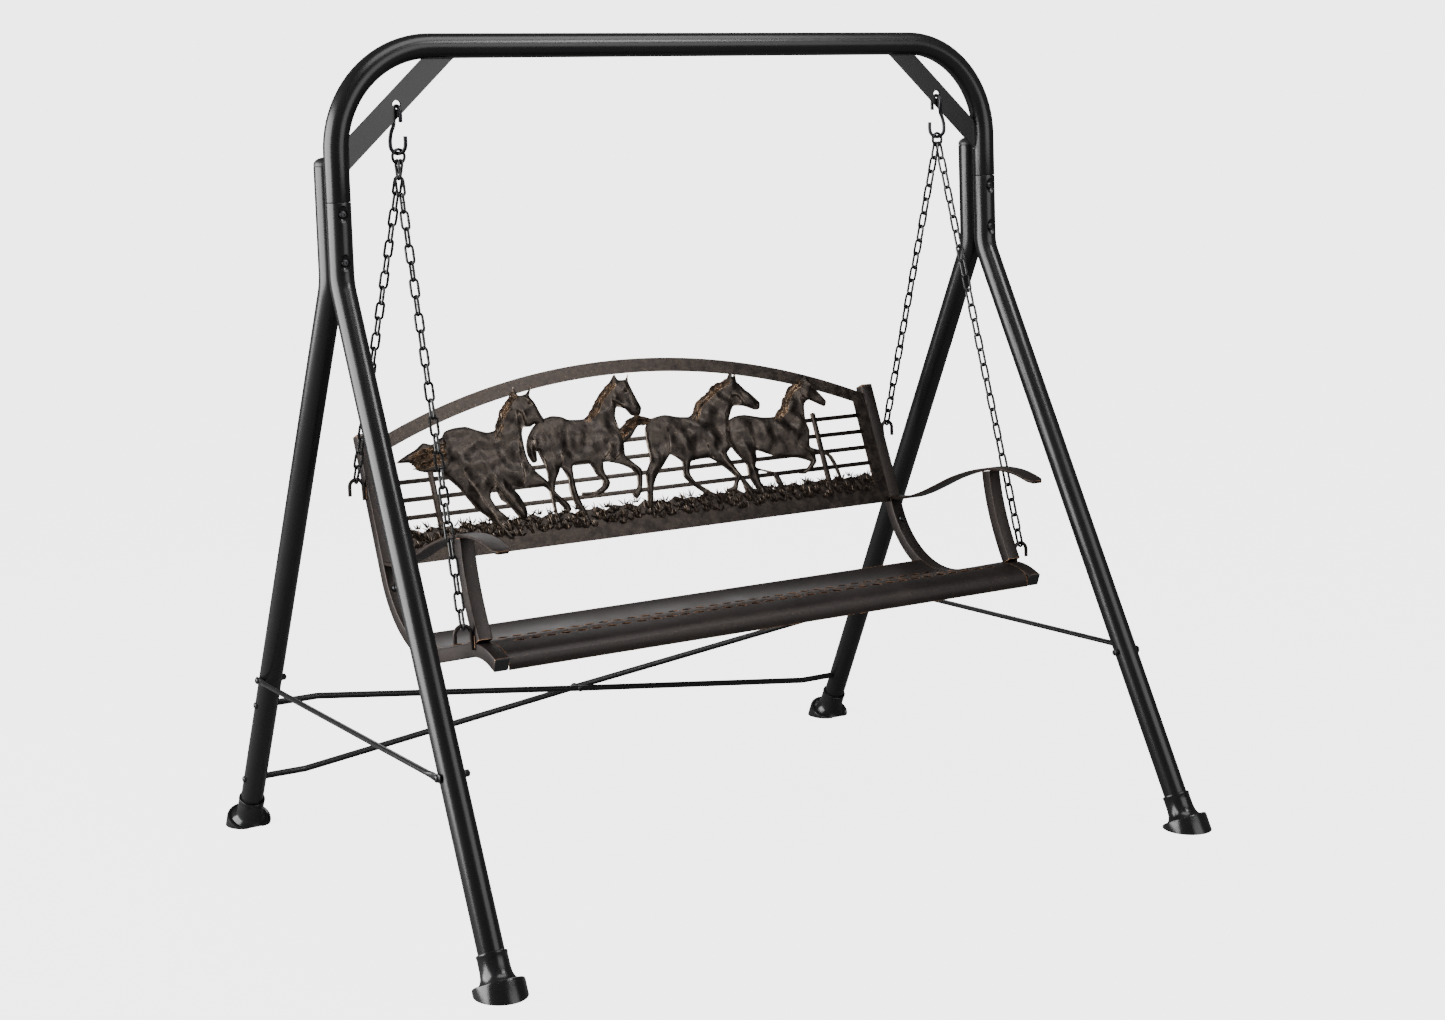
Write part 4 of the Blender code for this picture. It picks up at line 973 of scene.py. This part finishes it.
def rounded(points, bends, spacing):
    """Straight runs and true arcs through corner points, as points about one spacing apart."""
    out = [points[0]]
    here = points[0]
    for i in range(1, len(points) - 1):
        back, onward = (points[i - 1] - points[i]).normalized(), (points[i + 1] - points[i]).normalized()
        half = back.angle(onward) / 2
        reach = bends[i - 1] / math.tan(half)
        hub = points[i] + (back + onward).normalized() * bends[i - 1] / math.sin(half)
        stop, go = points[i] + back * reach, points[i] + onward * reach
        count = max(1, round((stop - here).length / spacing))
        out += [here.lerp(stop, k / count) for k in range(1, count + 1)]
        full = (stop - hub).angle(go - hub)
        count = max(2, round(full * bends[i - 1] / spacing))
        for k in range(1, count + 1):
            f = k / count
            arm = (stop - hub) * math.sin((1 - f) * full) + (go - hub) * math.sin(f * full)
            out.append(hub + arm / math.sin(full))
        here = go
    count = max(1, round((points[-1] - here).length / spacing))
    return out + [here.lerp(points[-1], k / count) for k in range(1, count + 1)]


seat_line = [p for p in rounded(points, bends, 4.0) if p.x < 17.0 and p.x > -345.0]
seat_line += smooth_line([seat_line[-1], (-352.0, 531.5), (-360.5, 524.5), (-364.2, 514.0), (-364.4, 500.8)],
                         3.0)[1:]
seat_at = [0.0]
for a, b in zip(seat_line, seat_line[1:]):
    seat_at.append(seat_at[-1] + (b - a).length)
seat_long = seat_at[-1]


def seat_spot(along):
    """The point and the upward normal of the seat at a distance from its rear edge."""
    k = next((i for i, d in enumerate(seat_at) if d > along), len(seat_at) - 1)
    k = max(1, k)
    a, b = seat_line[k - 1], seat_line[k]
    t = (along - seat_at[k - 1]) / (seat_at[k] - seat_at[k - 1])
    step = (b - a).normalized()
    return a.lerp(b, t), Vector((step.y, -step.x))


crest_at = next(d for d, p in zip(seat_at, seat_line) if p.x < -306.0)
rows = 10
slot_pitch = 2 * (SEAT_HALF - SLOT_EDGE) / SLOT_COLUMNS
verts, faces = [], []
lookup = {}


def corner(u, v):
    key = (round(u, 3), round(v, 3))
    if key not in lookup:
        lookup[key] = len(verts)
        verts.append((u, v))
    return lookup[key]


def slot_cell(u0, v0, wide, deep, slot_w, slot_d):
    """One cell of sheet round an eye-shaped slot, as twelve quads between the slot and the cell's edge."""
    cu, cv = u0 + wide / 2, v0 + deep / 2
    rim = [(u0 + wide * k / 4, v0) for k in range(4)] + [(u0 + wide, v0 + deep * k / 2) for k in range(2)]
    rim += [(u0 + wide - wide * k / 4, v0 + deep) for k in range(4)] + [(u0, v0 + deep - deep * k / 2)
                                                                        for k in range(2)]
    eye = []
    for u, v in rim:
        across = max(-1.0, min(1.0, (u - cu) / (wide / 2)))
        lift = (1 - across * across) * slot_d / 2
        side = 0.0 if abs(v - cv) < 1e-6 else math.copysign(1.0, v - cv)
        tip = 1.0 if side == 0.0 else (0.80 if abs(across) > 0.99 else abs(across))
        eye.append((cu + math.copysign(tip, across) * slot_w / 2 if abs(across) > 1e-6 else cu,
                    cv + side * (slot_d * 0.16 if abs(across) > 0.99 else lift * 1.0)))
    outer = [corner(u, v) for u, v in rim]
    inner = [corner(u, v) for u, v in eye]
    for k in range(len(rim)):
        j = (k + 1) % len(rim)
        faces.append((outer[k], outer[j], inner[j], inner[k]))


def plain_strip(u0, u1, v0, v1, columns, rows):
    for i in range(columns):
        for j in range(rows):
            a, b = u0 + (u1 - u0) * i / columns, u0 + (u1 - u0) * (i + 1) / columns
            c, d = v0 + (v1 - v0) * j / rows, v0 + (v1 - v0) * (j + 1) / rows
            faces.append((corner(a, c), corner(b, c), corner(b, d), corner(a, d)))


slot_rows_start = 62.0
row_deep = (crest_at + 12.0 - slot_rows_start) / rows
left = -SEAT_HALF + SLOT_EDGE
for j in range(rows):
    v0 = slot_rows_start + j * row_deep
    shift = slot_pitch / 2 if j % 2 else 0.0
    count = SLOT_COLUMNS - (1 if j % 2 else 0)
    for i in range(count):
        slot_cell(left + shift + i * slot_pitch, v0, slot_pitch, row_deep, slot_pitch * 0.80,
                  row_deep * 0.52)
    if j % 2:
        for edge in (left, -left - slot_pitch / 2):
            plain_strip(edge, edge + slot_pitch / 2, v0, v0 + row_deep, 2, 2)
    plain_strip(-SEAT_HALF, left, v0, v0 + row_deep, 2, 2)
    plain_strip(-left, SEAT_HALF, v0, v0 + row_deep, 2, 2)
for v0, v1, count in ((0.0, slot_rows_start, 12), (slot_rows_start + rows * row_deep, seat_long, 22)):
    plain_strip(-SEAT_HALF, left, v0, v1, 2, count)
    plain_strip(left, -left, v0, v1, SLOT_COLUMNS * 4, count)
    plain_strip(-left, SEAT_HALF, v0, v1, 2, count)
sheet = bpy.data.meshes.new("seat_pierced_sheet")
places = []
for u, v in verts:
    p, n = seat_spot(min(v, seat_long - 0.01))
    places.append((u * MM, p.x * MM, p.y * MM))
sheet.from_pydata(places, [], faces)
seat = bpy.data.objects.new("seat_pierced_sheet", sheet)
bpy.context.scene.collection.objects.link(seat)
edit(seat)
bpy.ops.mesh.select_all(action="SELECT")
bpy.ops.mesh.remove_doubles(threshold=1e-5)
bpy.ops.mesh.normals_make_consistent(inside=False)
bpy.ops.object.mode_set(mode="OBJECT")
if sum(f.normal.z for f in seat.data.polygons) < 0:
    edit(seat)
    bpy.ops.mesh.select_all(action="SELECT")
    bpy.ops.mesh.flip_normals()
    bpy.ops.object.mode_set(mode="OBJECT")
wall = seat.modifiers.new("wall", "SOLIDIFY")
wall.thickness = SEAT_T * MM
wall.offset = -1.0
deselect()
bpy.context.view_layer.objects.active = seat
bpy.ops.object.modifier_apply(modifier="wall")
done(seat, 40.0)
seat.data.materials.append(bench_bronze)
place_on(seat, "bench", "bench_bronze", "seat_sheet")


# Back panel frame: a steel plate with an arched band, two side bands and a ragged ground band, laid back
# between the uprights, with four flat fence rails and two posts welded across its window.
PANEL_FOOT = Vector((0.0, 129.0, 632.0))
PANEL_HALF = 624.3
PANEL_FRONT, PANEL_BACK = 2.0, 4.6
ARCH_TOP, ARCH_R = 399.0, 1530.0
ARCH_BAND, SIDE_BAND, GROUND_TOP = 32.0, 33.0, 66.0
hang = Matrix.Translation(PANEL_FOOT * MM) @ Matrix.Rotation(-BACK_TILT, 4, "X")


def hung(piece, smooth=35.0):
    """Moves a piece drawn flat, in the panel's own frame, to its place in the bench."""
    deselect()
    piece.data.transform(hang)
    piece.data.materials.append(panel_bronze)
    done(piece, smooth)
    place_on(piece, "bench", "panel_bronze")
    return piece


def prism(name, outline, front, back):
    """A flat outline in (x, height) with thickness along the panel's depth."""
    deselect()
    bpy.ops.mesh.primitive_circle_add(vertices=len(outline), radius=1.0)
    piece = bpy.context.object
    piece.name = name
    piece.data.name = name
    for vert, (x, h) in zip(piece.data.vertices, outline):
        vert.co = (x * MM, front * MM, h * MM)
    edit(piece)
    bpy.ops.mesh.select_all(action="SELECT")
    bpy.ops.mesh.edge_face_add()
    bpy.ops.mesh.extrude_region_move(TRANSFORM_OT_translate={"value": (0, (back - front) * MM, 0)})
    bpy.ops.mesh.select_all(action="SELECT")
    bpy.ops.mesh.normals_make_consistent(inside=False)
    bpy.ops.object.mode_set(mode="OBJECT")
    return piece


def bevelled(piece, width, segments=2, angle=40.0):
    change = piece.modifiers.new("edges", "BEVEL")
    change.width = width * MM
    change.segments = segments
    change.limit_method = "ANGLE"
    change.angle_limit = math.radians(angle)
    deselect()
    bpy.context.view_layer.objects.active = piece
    bpy.ops.object.modifier_apply(modifier="edges")
    return piece


def arch(x, drop=0.0):
    return ARCH_TOP - drop - (ARCH_R - math.sqrt(ARCH_R ** 2 - x ** 2))


panel_bronze = bronze("panel_bronze", (0.017, 0.0135, 0.0120), (0.050, 0.039, 0.032), (0.40, 0.245, 0.135),
                      edge=0.0014, patch=55.0, rub=0.8, rough=0.24, metallic=0.82, bump=0.30)
reach = [-PANEL_HALF + 2 * PANEL_HALF * k / 48 for k in range(49)]
inner = PANEL_HALF - SIDE_BAND
plate = prism("panel_plate",
              [(-PANEL_HALF, 0.0), (PANEL_HALF, 0.0)] + [(x, arch(x)) for x in reversed(reach)],
              PANEL_FRONT, PANEL_BACK)
reach = [-inner + 2 * inner * k / 48 for k in range(49)]
ragged = [(inner - 2 * inner * k / 60, GROUND_TOP + (7.0 if k % 2 else 0.0) + 3.0 * math.sin(k * 1.7))
          for k in range(61)]
plate = cut(plate, prism("window", [(x, arch(x, ARCH_BAND)) for x in reach] + ragged, -20.0, 20.0))
bevelled(plate, 0.7, 2, 30.0)
hung(plate)
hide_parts("back_panel")
FENCE_RAILS = ((-601.3, 600.7, 97.6), (-600.9, 601.1, 135.7), (-601.7, 600.3, 174.4), (-60.3, 601.9, 213.7))
FENCE_POSTS = ((-508.3, 190.4), (470.6, 229.3))
for k, (a, b, h) in enumerate(FENCE_RAILS):
    plank = prism(f"fence_rail_{k + 1}", [(a, h - 5), (b, h - 5), (b, h + 5), (a, h + 5)], 1.6, 5.1)
    hung(bevelled(plank, 1.0))
for k, (x, h) in enumerate(FENCE_POSTS):
    plank = prism(f"fence_post_{k + 1}", [(x - 7, 50), (x + 7, 50), (x + 6.4, h), (x, h + 2), (x - 6.4, h)],
                  0.6, 5.5)
    hung(bevelled(plank, 1.2))


# Grass of the panel: some nine hundred small curved blades in fanned tufts, five rows deep, over the plate's
# ragged upper edge. Each blade is a thin three-sided spike with a few faces.
random.seed(11)
verts, faces, blade_highlight = [], [], []
GRASS_ROWS = ((33.0, -0.2), (42.0, 0.1), (51.0, 0.5), (60.0, 0.9), (68.0, 1.3))


def blade(x, h, depth, lean, long, wide, curl):
    """One blade, rooted at (x, h) and leaning by an angle that curl changes on the way up."""
    first = len(verts)
    stations = 3
    angle = lean
    here = Vector((x, h))
    for k in range(stations):
        half = wide / 2 * (1.0 - 0.22 * k)
        across = Vector((math.cos(angle), -math.sin(angle)))
        lift = 1.7 * (1.0 - 0.25 * k)
        bulge = -1.2 * math.sin(math.pi * k / stations)
        for offset, front in ((-half, 0.6), (0.0, -lift), (half, 0.6)):
            p = here + across * offset
            verts.append((p.x * MM, (depth + front + bulge) * MM, p.y * MM))
            # Painted highlight: brighter up the blade's front spine and brightest at its point.
            blade_highlight.append(0.16 * k if front < 0 else 0.05 * k)
        here = here + Vector((math.sin(angle), math.cos(angle))) * long / stations
        angle += curl / stations
    verts.append((here.x * MM, depth * MM, here.y * MM))
    blade_highlight.append(0.75)
    for k in range(stations - 1):
        a = first + 3 * k
        for i in range(3):
            j = (i + 1) % 3
            faces.append((a + i, a + j, a + 3 + j, a + 3 + i))
    a = first + 3 * (stations - 1)
    for i in range(3):
        faces.append((a + i, a + (i + 1) % 3, first + 3 * stations))
    faces.append((first + 2, first + 1, first))


for row, (h, depth) in enumerate(GRASS_ROWS):
    count = 52
    for k in range(count):
        x = -inner + 2 * inner * (k + random.uniform(0.1, 0.9)) / count
        base = h + random.uniform(-4.5, 4.5)
        for lean in (-0.75, -0.25, 0.25, 0.75):
            if random.random() < 0.88:
                turn = lean + random.uniform(-0.28, 0.28)
                blade(x + lean * 4.0, base, depth + random.uniform(-0.5, 0.5), turn,
                      random.uniform(11.0, 19.0), random.uniform(3.2, 5.0), random.uniform(-0.7, 0.7))
sheet = bpy.data.meshes.new("panel_grass")
sheet.from_pydata(verts, [], faces)
# Blade spines and tips carry a painted highlight, and every blade has less edge wear.
sheet.attributes.new("highlight_mask", "FLOAT", "POINT").data.foreach_set("value", blade_highlight)
sheet.attributes.new("dull", "FLOAT", "POINT").data.foreach_set("value", [0.72] * len(verts))
grass = bpy.data.objects.new("panel_grass", sheet)
bpy.context.scene.collection.objects.link(grass)
edit(grass)
bpy.ops.mesh.select_all(action="SELECT")
bpy.ops.mesh.normals_make_consistent(inside=False)
hung(grass, 25.0)


# Horses of the panel: four running horses and two tails, pressed outwards in the middle and thin at their
# edges. Each is drawn as an outline, then lines in it raise the neck, the shoulder, the thigh and the jaw
# as steps.
HORSES = {
    "tail_1": [(-462, 262), (-492, 249), (-512, 254), (-531, 242), (-558, 230), (-580, 217), (-548, 214),
               (-535, 196), (-516, 190), (-480, 188), (-455, 200)],
    "horse_1": [(-277, 357), (-268, 338), (-250, 340), (-233, 354), (-242, 335), (-233, 319), (-225, 294),
                (-214, 268), (-219, 255), (-241, 271), (-254, 266), (-272, 266), (-279, 250), (-280, 214),
                (-277, 190), (-265, 166), (-243, 142), (-226, 112), (-204, 88), (-201, 74), (-210, 68),
                (-234, 102), (-253, 130), (-305, 133), (-329, 140), (-315, 116), (-306, 90), (-308, 70),
                (-323, 64), (-344, 98), (-361, 114), (-369, 140), (-379, 134), (-383, 118), (-372, 94),
                (-355, 74), (-368, 66), (-359, 50), (-349, 26), (-366, 30), (-398, 77), (-423, 102),
                (-451, 148),
                (-470, 170), (-483, 182), (-481, 226), (-472, 252), (-457, 274), (-433, 280), (-406, 280),
                (-384, 271), (-360, 263), (-340, 267), (-324, 294), (-310, 318), (-288, 335)],
    "horse_2": [(-23, 366), (-17, 353), (2, 352), (12, 364), (8, 347), (13, 326), (21, 300), (26, 284),
                (19, 268), (8, 266), (-4, 270), (-15, 285), (-35, 291), (-44, 270), (-41, 244), (-36, 220),
                (-39, 196), (-40, 178), (-21, 158), (-8, 144), (-12, 120), (-21, 94), (-36, 79), (-45, 92),
                (-29, 106), (-24, 130), (-34, 148), (-55, 160), (-77, 167), (-98, 171), (-101, 149),
                (-93, 124), (-101, 110), (-123, 98), (-163, 99), (-167, 108), (-137, 107), (-115, 117),
                (-111, 129), (-123, 146), (-134, 170), (-173, 170), (-178, 142), (-177, 110), (-173, 88),
                (-165, 60), (-160, 36), (-172, 36), (-182, 67), (-192, 94), (-195, 117), (-193, 144),
                (-203, 168), (-212, 156), (-224, 138), (-233, 106), (-235, 75), (-232, 51), (-229, 34),
                (-247, 37), (-243, 70), (-243, 99), (-244, 125), (-240, 150), (-240, 168), (-252, 212),
                (-257, 188), (-268, 186), (-276, 204), (-275, 224), (-267, 243), (-252, 262), (-232, 277),
                (-200, 285), (-176, 281), (-160, 273), (-125, 271), (-105, 284), (-71, 324), (-38, 350)],
    "tail_3": [(44, 256), (16, 266), (-8, 262), (-30, 248), (-46, 237), (-58, 214), (-35, 208), (-14, 221),
               (8, 243), (40, 244)],
    "horse_3": [(277, 349), (280, 334), (289, 345), (288, 323), (304, 302), (323, 284), (336, 268),
                (331, 254), (318, 253), (292, 264), (264, 266), (246, 240), (234, 208), (230, 170),
                (218, 157),
                (234, 119), (249, 94), (262, 72), (271, 43), (259, 35), (246, 62), (237, 93), (229, 86),
                (221, 70), (194, 69), (197, 77), (214, 82), (224, 104), (195, 134), (169, 152), (122, 149),
                (111, 122), (122, 100), (160, 70), (172, 50), (145, 66), (107, 99), (93, 118), (97, 151),
                (74, 170), (63, 162), (24, 122), (9, 95), (2, 66), (-19, 34), (-12, 69), (-4, 105), (0, 134),
                (16, 158), (19, 185), (19, 212), (25, 238), (42, 256), (80, 262), (110, 255), (140, 252),
                (155, 261), (169, 284), (203, 303), (232, 321), (263, 332)],
    "horse_4": [(475, 324), (483, 316), (490, 295), (504, 276), (517, 256), (510, 244), (496, 250),
                (471, 263), (455, 253), (448, 216), (452, 190), (443, 152), (479, 138), (496, 124),
                (505, 97),
                (508, 64), (500, 76), (491, 110), (481, 128), (453, 134), (450, 115), (435, 101), (413, 90),
                (395, 93), (419, 102), (433, 117), (402, 129), (346, 138), (298, 157), (293, 138),
                (286, 118),
                (331, 102), (342, 89), (346, 70), (330, 75), (324, 97), (291, 110), (289, 82), (307, 51),
                (298, 42), (273, 70), (260, 101), (261, 128), (238, 163), (230, 189), (232, 212), (243, 234),
                (262, 242), (288, 243), (333, 233), (366, 232), (386, 248), (410, 280), (431, 301),
                (459, 314)],
}
# Each line runs down the relief with its raised side on its right or, where marked -1, on its left.
LINES = {
    "tail_1": ((1, (-462, 240), (-500, 232), (-540, 222)), (1, (-462, 222), (-495, 214), (-535, 208))),
    "horse_1": ((1, (-284, 305), (-285, 276), (-287, 249), (-296, 215), (-296, 188), (-298, 157),
                 (-305, 137)),
                (1, (-275, 228), (-275, 211), (-273, 189), (-272, 168)),
                (1, (-435, 187), (-423, 159), (-412, 135), (-394, 99), (-373, 58), (-355, 34)),
                (-1, (-370, 170), (-364, 145), (-351, 122), (-333, 97)),
                (-1, (-283, 305), (-271, 296), (-267, 281), (-262, 269)),
                (1, (-257, 336), (-249, 325), (-239, 313), (-230, 292))),
    "horse_2": ((1, (-47, 305), (-45, 283), (-47, 265), (-49, 249), (-42, 233), (-40, 210)),
                (1, (-70, 209), (-82, 189), (-96, 177), (-103, 162)),
                (1, (-46, 188), (-61, 179), (-74, 172)),
                (1, (-198, 199), (-199, 185), (-203, 170)),
                (-1, (-257, 240), (-254, 212), (-242, 190), (-238, 166)),
                (-1, (-44, 305), (-29, 298), (-18, 289), (-12, 278)),
                (1, (-5, 350), (-1, 332), (6, 313), (14, 294))),
    "tail_3": ((1, (40, 251), (5, 255), (-25, 238), (-45, 222)), (1, (12, 259), (-18, 250), (-44, 228))),
    "horse_3": ((1, (266, 293), (249, 270), (234, 243), (228, 212), (224, 185), (225, 168)),
                (1, (167, 182), (170, 160), (180, 146)),
                (1, (202, 165), (203, 147), (220, 123), (238, 98)),
                (1, (74, 227), (76, 204), (72, 183), (61, 165)),
                (-1, (266, 293), (280, 288), (288, 277), (291, 268)),
                (1, (285, 322), (302, 306), (317, 287), (329, 270))),
    "horse_4": ((1, (444, 289), (445, 269), (446, 245), (442, 211), (445, 187), (440, 167)),
                (1, (413, 181), (413, 158), (432, 148), (446, 139)),
                (1, (296, 224), (287, 202), (294, 183), (294, 160)),
                (-1, (452, 277), (459, 269), (472, 265)),
                (1, (475, 308), (487, 293), (500, 273), (509, 258))),
}
MANES = {
    "horse_1": ((-277, 345), (-296, 328), (-314, 308), (-325, 289), (-337, 266)),
    "horse_2": ((-32, 350), (-53, 334), (-72, 317), (-91, 296), (-107, 281)),
    "horse_3": ((266, 329), (232, 318), (203, 300), (176, 283), (159, 262)),
    "horse_4": ((461, 313), (433, 299), (411, 277), (394, 254), (378, 238)),
}
FACES = {
    "horse_1": ((-249, 317), (-224, 268)), "horse_2": ((-7, 324), (13, 280)),
    "horse_3": ((301, 301), (325, 264)), "horse_4": ((485, 290), (507, 254)),
}
RELIEF_PITCH = 3.4
SWELL, SWELL_REACH = 6.5, 34.0
MUSCLE, STEP, STEP_REACH, RIDGE, RIDGE_HALF = 4.6, 4.4, 26.0, 1.5, 1.6


def closed_line(points, spacing):
    """A smooth closed curve through the points, as points about one spacing apart."""
    points = [Vector(p) for p in points]
    out = []
    count = len(points)
    for i in range(count):
        a, b, c, d = (points[(i + k) % count] for k in (-1, 0, 1, 2))
        parts = max(1, round((c - b).length / spacing))
        for k in range(parts):
            t = k / parts
            out.append(bow(a, b, c, d, t))
    return out


def bow(a, b, c, d, t):
    """A point of the cardinal spline from b to c."""
    pull = 0.30
    m0, m1 = (c - a) * pull, (d - b) * pull
    h1, h2, h3 = t * t * (3 - 2 * t), t * (1 - t) ** 2, t * t * (t - 1)
    return b * (1 - h1) + c * h1 + m0 * h2 + m1 * h3


def tree_of(points):
    tree = kdtree.KDTree(len(points))
    for i, p in enumerate(points):
        tree.insert((p.x, p.y, 0.0), i)
    tree.balance()
    return tree


def relief(name, outline, front, back, level):
    """One raised figure: outline, inner points and crease points are joined by triangles, then lifted."""
    rim = closed_line(outline, RELIEF_PITCH)
    rim_tree = tree_of(rim)
    creases = []
    extra = []
    for sign, *line in LINES[name]:
        line = smooth_line([(x, h) for x, h in line], 2.2)
        creases.append((sign, line, tree_of(line)))
        for i, p in enumerate(line):
            along = (line[min(i + 1, len(line) - 1)] - line[max(i - 1, 0)]).normalized()
            across = Vector((-along.y, along.x))
            extra += [p, p + across * 1.7, p - across * 1.7]
    spots = [Vector(p) for p in FACES.get(name, ())]
    for spot in spots:
        for radius, parts in ((0.0, 1), (1.5, 6), (3.2, 9)):
            extra += [spot + heading(2 * math.pi * k / parts) * radius for k in range(parts)]
    points = list(rim)
    taken = tree_of(rim)
    kept = []
    for p in extra:
        if taken.find((p.x, p.y, 0))[2] > 1.3 and all((p - q).length > 0.9 for q in kept[-80:]):
            kept.append(p)
    points += kept
    taken = tree_of(points)
    low_x, high_x = min(p.x for p in rim), max(p.x for p in rim)
    low_h, high_h = min(p.y for p in rim), max(p.y for p in rim)
    row = 0
    h = low_h
    while h < high_h:
        x = low_x + (RELIEF_PITCH / 2 if row % 2 else 0.0)
        while x < high_x:
            p = Vector((x + random.uniform(-0.5, 0.5), h + random.uniform(-0.5, 0.5)))
            if taken.find((p.x, p.y, 0))[2] > RELIEF_PITCH * 0.62:
                points.append(p)
            x += RELIEF_PITCH
        h += RELIEF_PITCH * 0.87
        row += 1
    out = geometry.delaunay_2d_cdt(points, [], [list(range(len(rim)))], 1, 1e-4)
    flat, triangles = out[0], out[2]

    def lift(p):
        away = rim_tree.find((p.x, p.y, 0))[2]
        dome = math.sqrt(max(0.0, 1.0 - (1.0 - min(away / SWELL_REACH, 1.0)) ** 2))
        rise = SWELL * dome
        rise += MUSCLE * dome * noise.noise(Vector((p.x / 32.0, p.y / 30.0, level * 9.0)))
        rise += 0.3 * min(1.0, away / 5.0) * noise.noise(Vector((p.x / 9.0, p.y / 12.0, level * 5.0)))
        shine = 0.0
        for sign, line, tree in creases:
            near, i, gap = tree.find((p.x, p.y, 0))
            along = line[min(i + 1, len(line) - 1)] - line[max(i - 1, 0)]
            side = (along.x * (p.y - line[i].y) - along.y * (p.x - line[i].x)) * sign
            ends = min(1.0, (0.25 + min(i, len(line) - 1 - i) / 6.0))
            ridge = math.exp(-(gap / RIDGE_HALF) ** 2) * ends
            rise += RIDGE * ridge
            shine = max(shine, ridge)
            if gap < STEP_REACH and 0 < i < len(line) - 1:
                fade = (1.0 - gap / STEP_REACH) ** 2 * ends * min(1.0, away / 4.0)
                rise += STEP * fade * (0.45 if side < 0 else -0.75 * min(1.0, gap / 1.5))
        for k, spot in enumerate(spots):
            gap = (p - spot).length
            rise += (1.5 * math.exp(-(gap / 1.6) ** 2) - 1.1 * math.exp(-((gap - 3.2) / 1.0) ** 2) if k == 0
                     else -1.4 * math.exp(-(gap / 1.7) ** 2))
        return max(rise, 0.15), shine, away

    edge_level = front + 1.4
    verts, glow = [], []
    for p in flat:
        rise, shine, away = lift(p)
        verts.append((p.x * MM, (edge_level - rise) * MM, p.y * MM))
        # Painted highlight: the crease ridges and the figure's outline get pale highlight values.
        glow.append(max(shine * 0.9, math.exp(-(away / 1.6) ** 2) * 0.8))
    used = {}
    for a, b, c in triangles:
        for edge in ((a, b), (b, c), (c, a)):
            key = tuple(sorted(edge))
            used[key] = used.get(key, 0) + 1
    faces = [tuple(t) for t in triangles]
    behind = {}
    for a, b in [k for k, n in used.items() if n == 1]:
        for i in (a, b):
            if i not in behind:
                behind[i] = len(verts)
                verts.append((flat[i].x * MM, back * MM, flat[i].y * MM))
                glow.append(0.2)
        faces.append((a, b, behind[b], behind[a]))
    border = list(behind)
    spot_of = {i: k for k, i in enumerate(border)}
    edges = [(spot_of[a], spot_of[b]) for a, b in [k for k, n in used.items() if n == 1]]
    rear = geometry.delaunay_2d_cdt([flat[i] for i in border], edges, [], 2, 1e-4)
    origin = rear[3]
    for t in rear[2]:
        centre = sum((rear[0][i] for i in t), Vector((0.0, 0.0))) / len(t)
        if inside(centre, rim):
            faces.append(tuple(behind[border[origin[i][0]]] for i in t))
    strands = []
    if name in MANES:
        crest = smooth_line(MANES[name], 3.2)
        for k, p in enumerate(crest):
            onward = (crest[min(k + 1, len(crest) - 1)] - crest[max(k - 1, 0)]).normalized()
            inward = Vector((onward.y, -onward.x)) * -1.0
            for offset in (0.0, 8.0):
                strands.append((p + inward * (offset - 1.0) + onward * random.uniform(-1.5, 1.5), onward,
                                inward, random.uniform(17.0, 27.0)))
    if name.startswith("tail"):
        for sign, line, tree in creases:
            for k in range(0, len(line) - 2, 2):
                onward = (line[k + 1] - line[k]).normalized()
                for offset in (-8.0, -4.0, 0.0, 4.0, 8.0):
                    start = line[k] + Vector((-onward.y, onward.x)) * offset
                    if inside(start, rim) and rim_tree.find((start.x, start.y, 0))[2] > 2.0:
                        strands.append((start, onward, Vector((-onward.y, onward.x)),
                                        random.uniform(14.0, 22.0)))
    for start, onward, inward, long in strands:
        first = len(verts)
        wave = random.uniform(-0.35, 0.35)
        here = Vector(start)
        stations = 6
        for k in range(stations + 1):
            t = k / stations
            half = 1.7 * (math.sin(math.pi * (0.12 + 0.82 * t)) ** 0.7)
            bend = onward + inward * (0.42 * math.sin(math.pi * 1.6 * t + wave * 4) + wave * 0.4)
            bend.normalize()
            across = Vector((-bend.y, bend.x))
            rise = lift(here)[0] if inside(here, rim) else 0.6
            base = edge_level - rise
            for offset, out_by in ((-half, -0.5), (0.0, 1.5 * (1 - t * 0.5)), (half, -0.5)):
                p = here + across * offset
                verts.append((p.x * MM, (base - out_by) * MM, p.y * MM))
                # Painted highlight along the crest of each strand.
                glow.append(0.75 if out_by > 0 else 0.0)
            here = here + bend * long / stations
        for k in range(stations):
            a = first + 3 * k
            for i in range(3):
                j = (i + 1) % 3
                faces.append((a + i, a + j, a + 3 + j, a + 3 + i))
        faces.append((first + 2, first + 1, first))
        last = first + 3 * stations
        faces.append((last, last + 1, last + 2))
    sheet = bpy.data.meshes.new("relief_" + name)
    sheet.from_pydata(verts, [], faces)
    # These values drive the bronze's painted pale pewter highlight.
    sheet.attributes.new("highlight_mask", "FLOAT", "POINT").data.foreach_set("value", glow)
    piece = bpy.data.objects.new("relief_" + name, sheet)
    bpy.context.scene.collection.objects.link(piece)
    edit(piece)
    bpy.ops.mesh.select_all(action="SELECT")
    bpy.ops.mesh.delete_loose()
    bpy.ops.mesh.select_all(action="SELECT")
    bpy.ops.mesh.normals_make_consistent(inside=False)
    return hung(piece, 55.0)


def inside(p, loop):
    """Whether a point lies in a closed loop."""
    found = False
    for a, b in zip(loop, loop[1:] + loop[:1]):
        if (a.y > p.y) != (b.y > p.y) and p.x < a.x + (p.y - a.y) / (b.y - a.y) * (b.x - a.x):
            found = not found
    return found


random.seed(5)
for k, (name, outline) in enumerate(HORSES.items()):
    relief(name, outline, 0.4 + 0.25 * k, 4.25 + 0.2 * k, k)
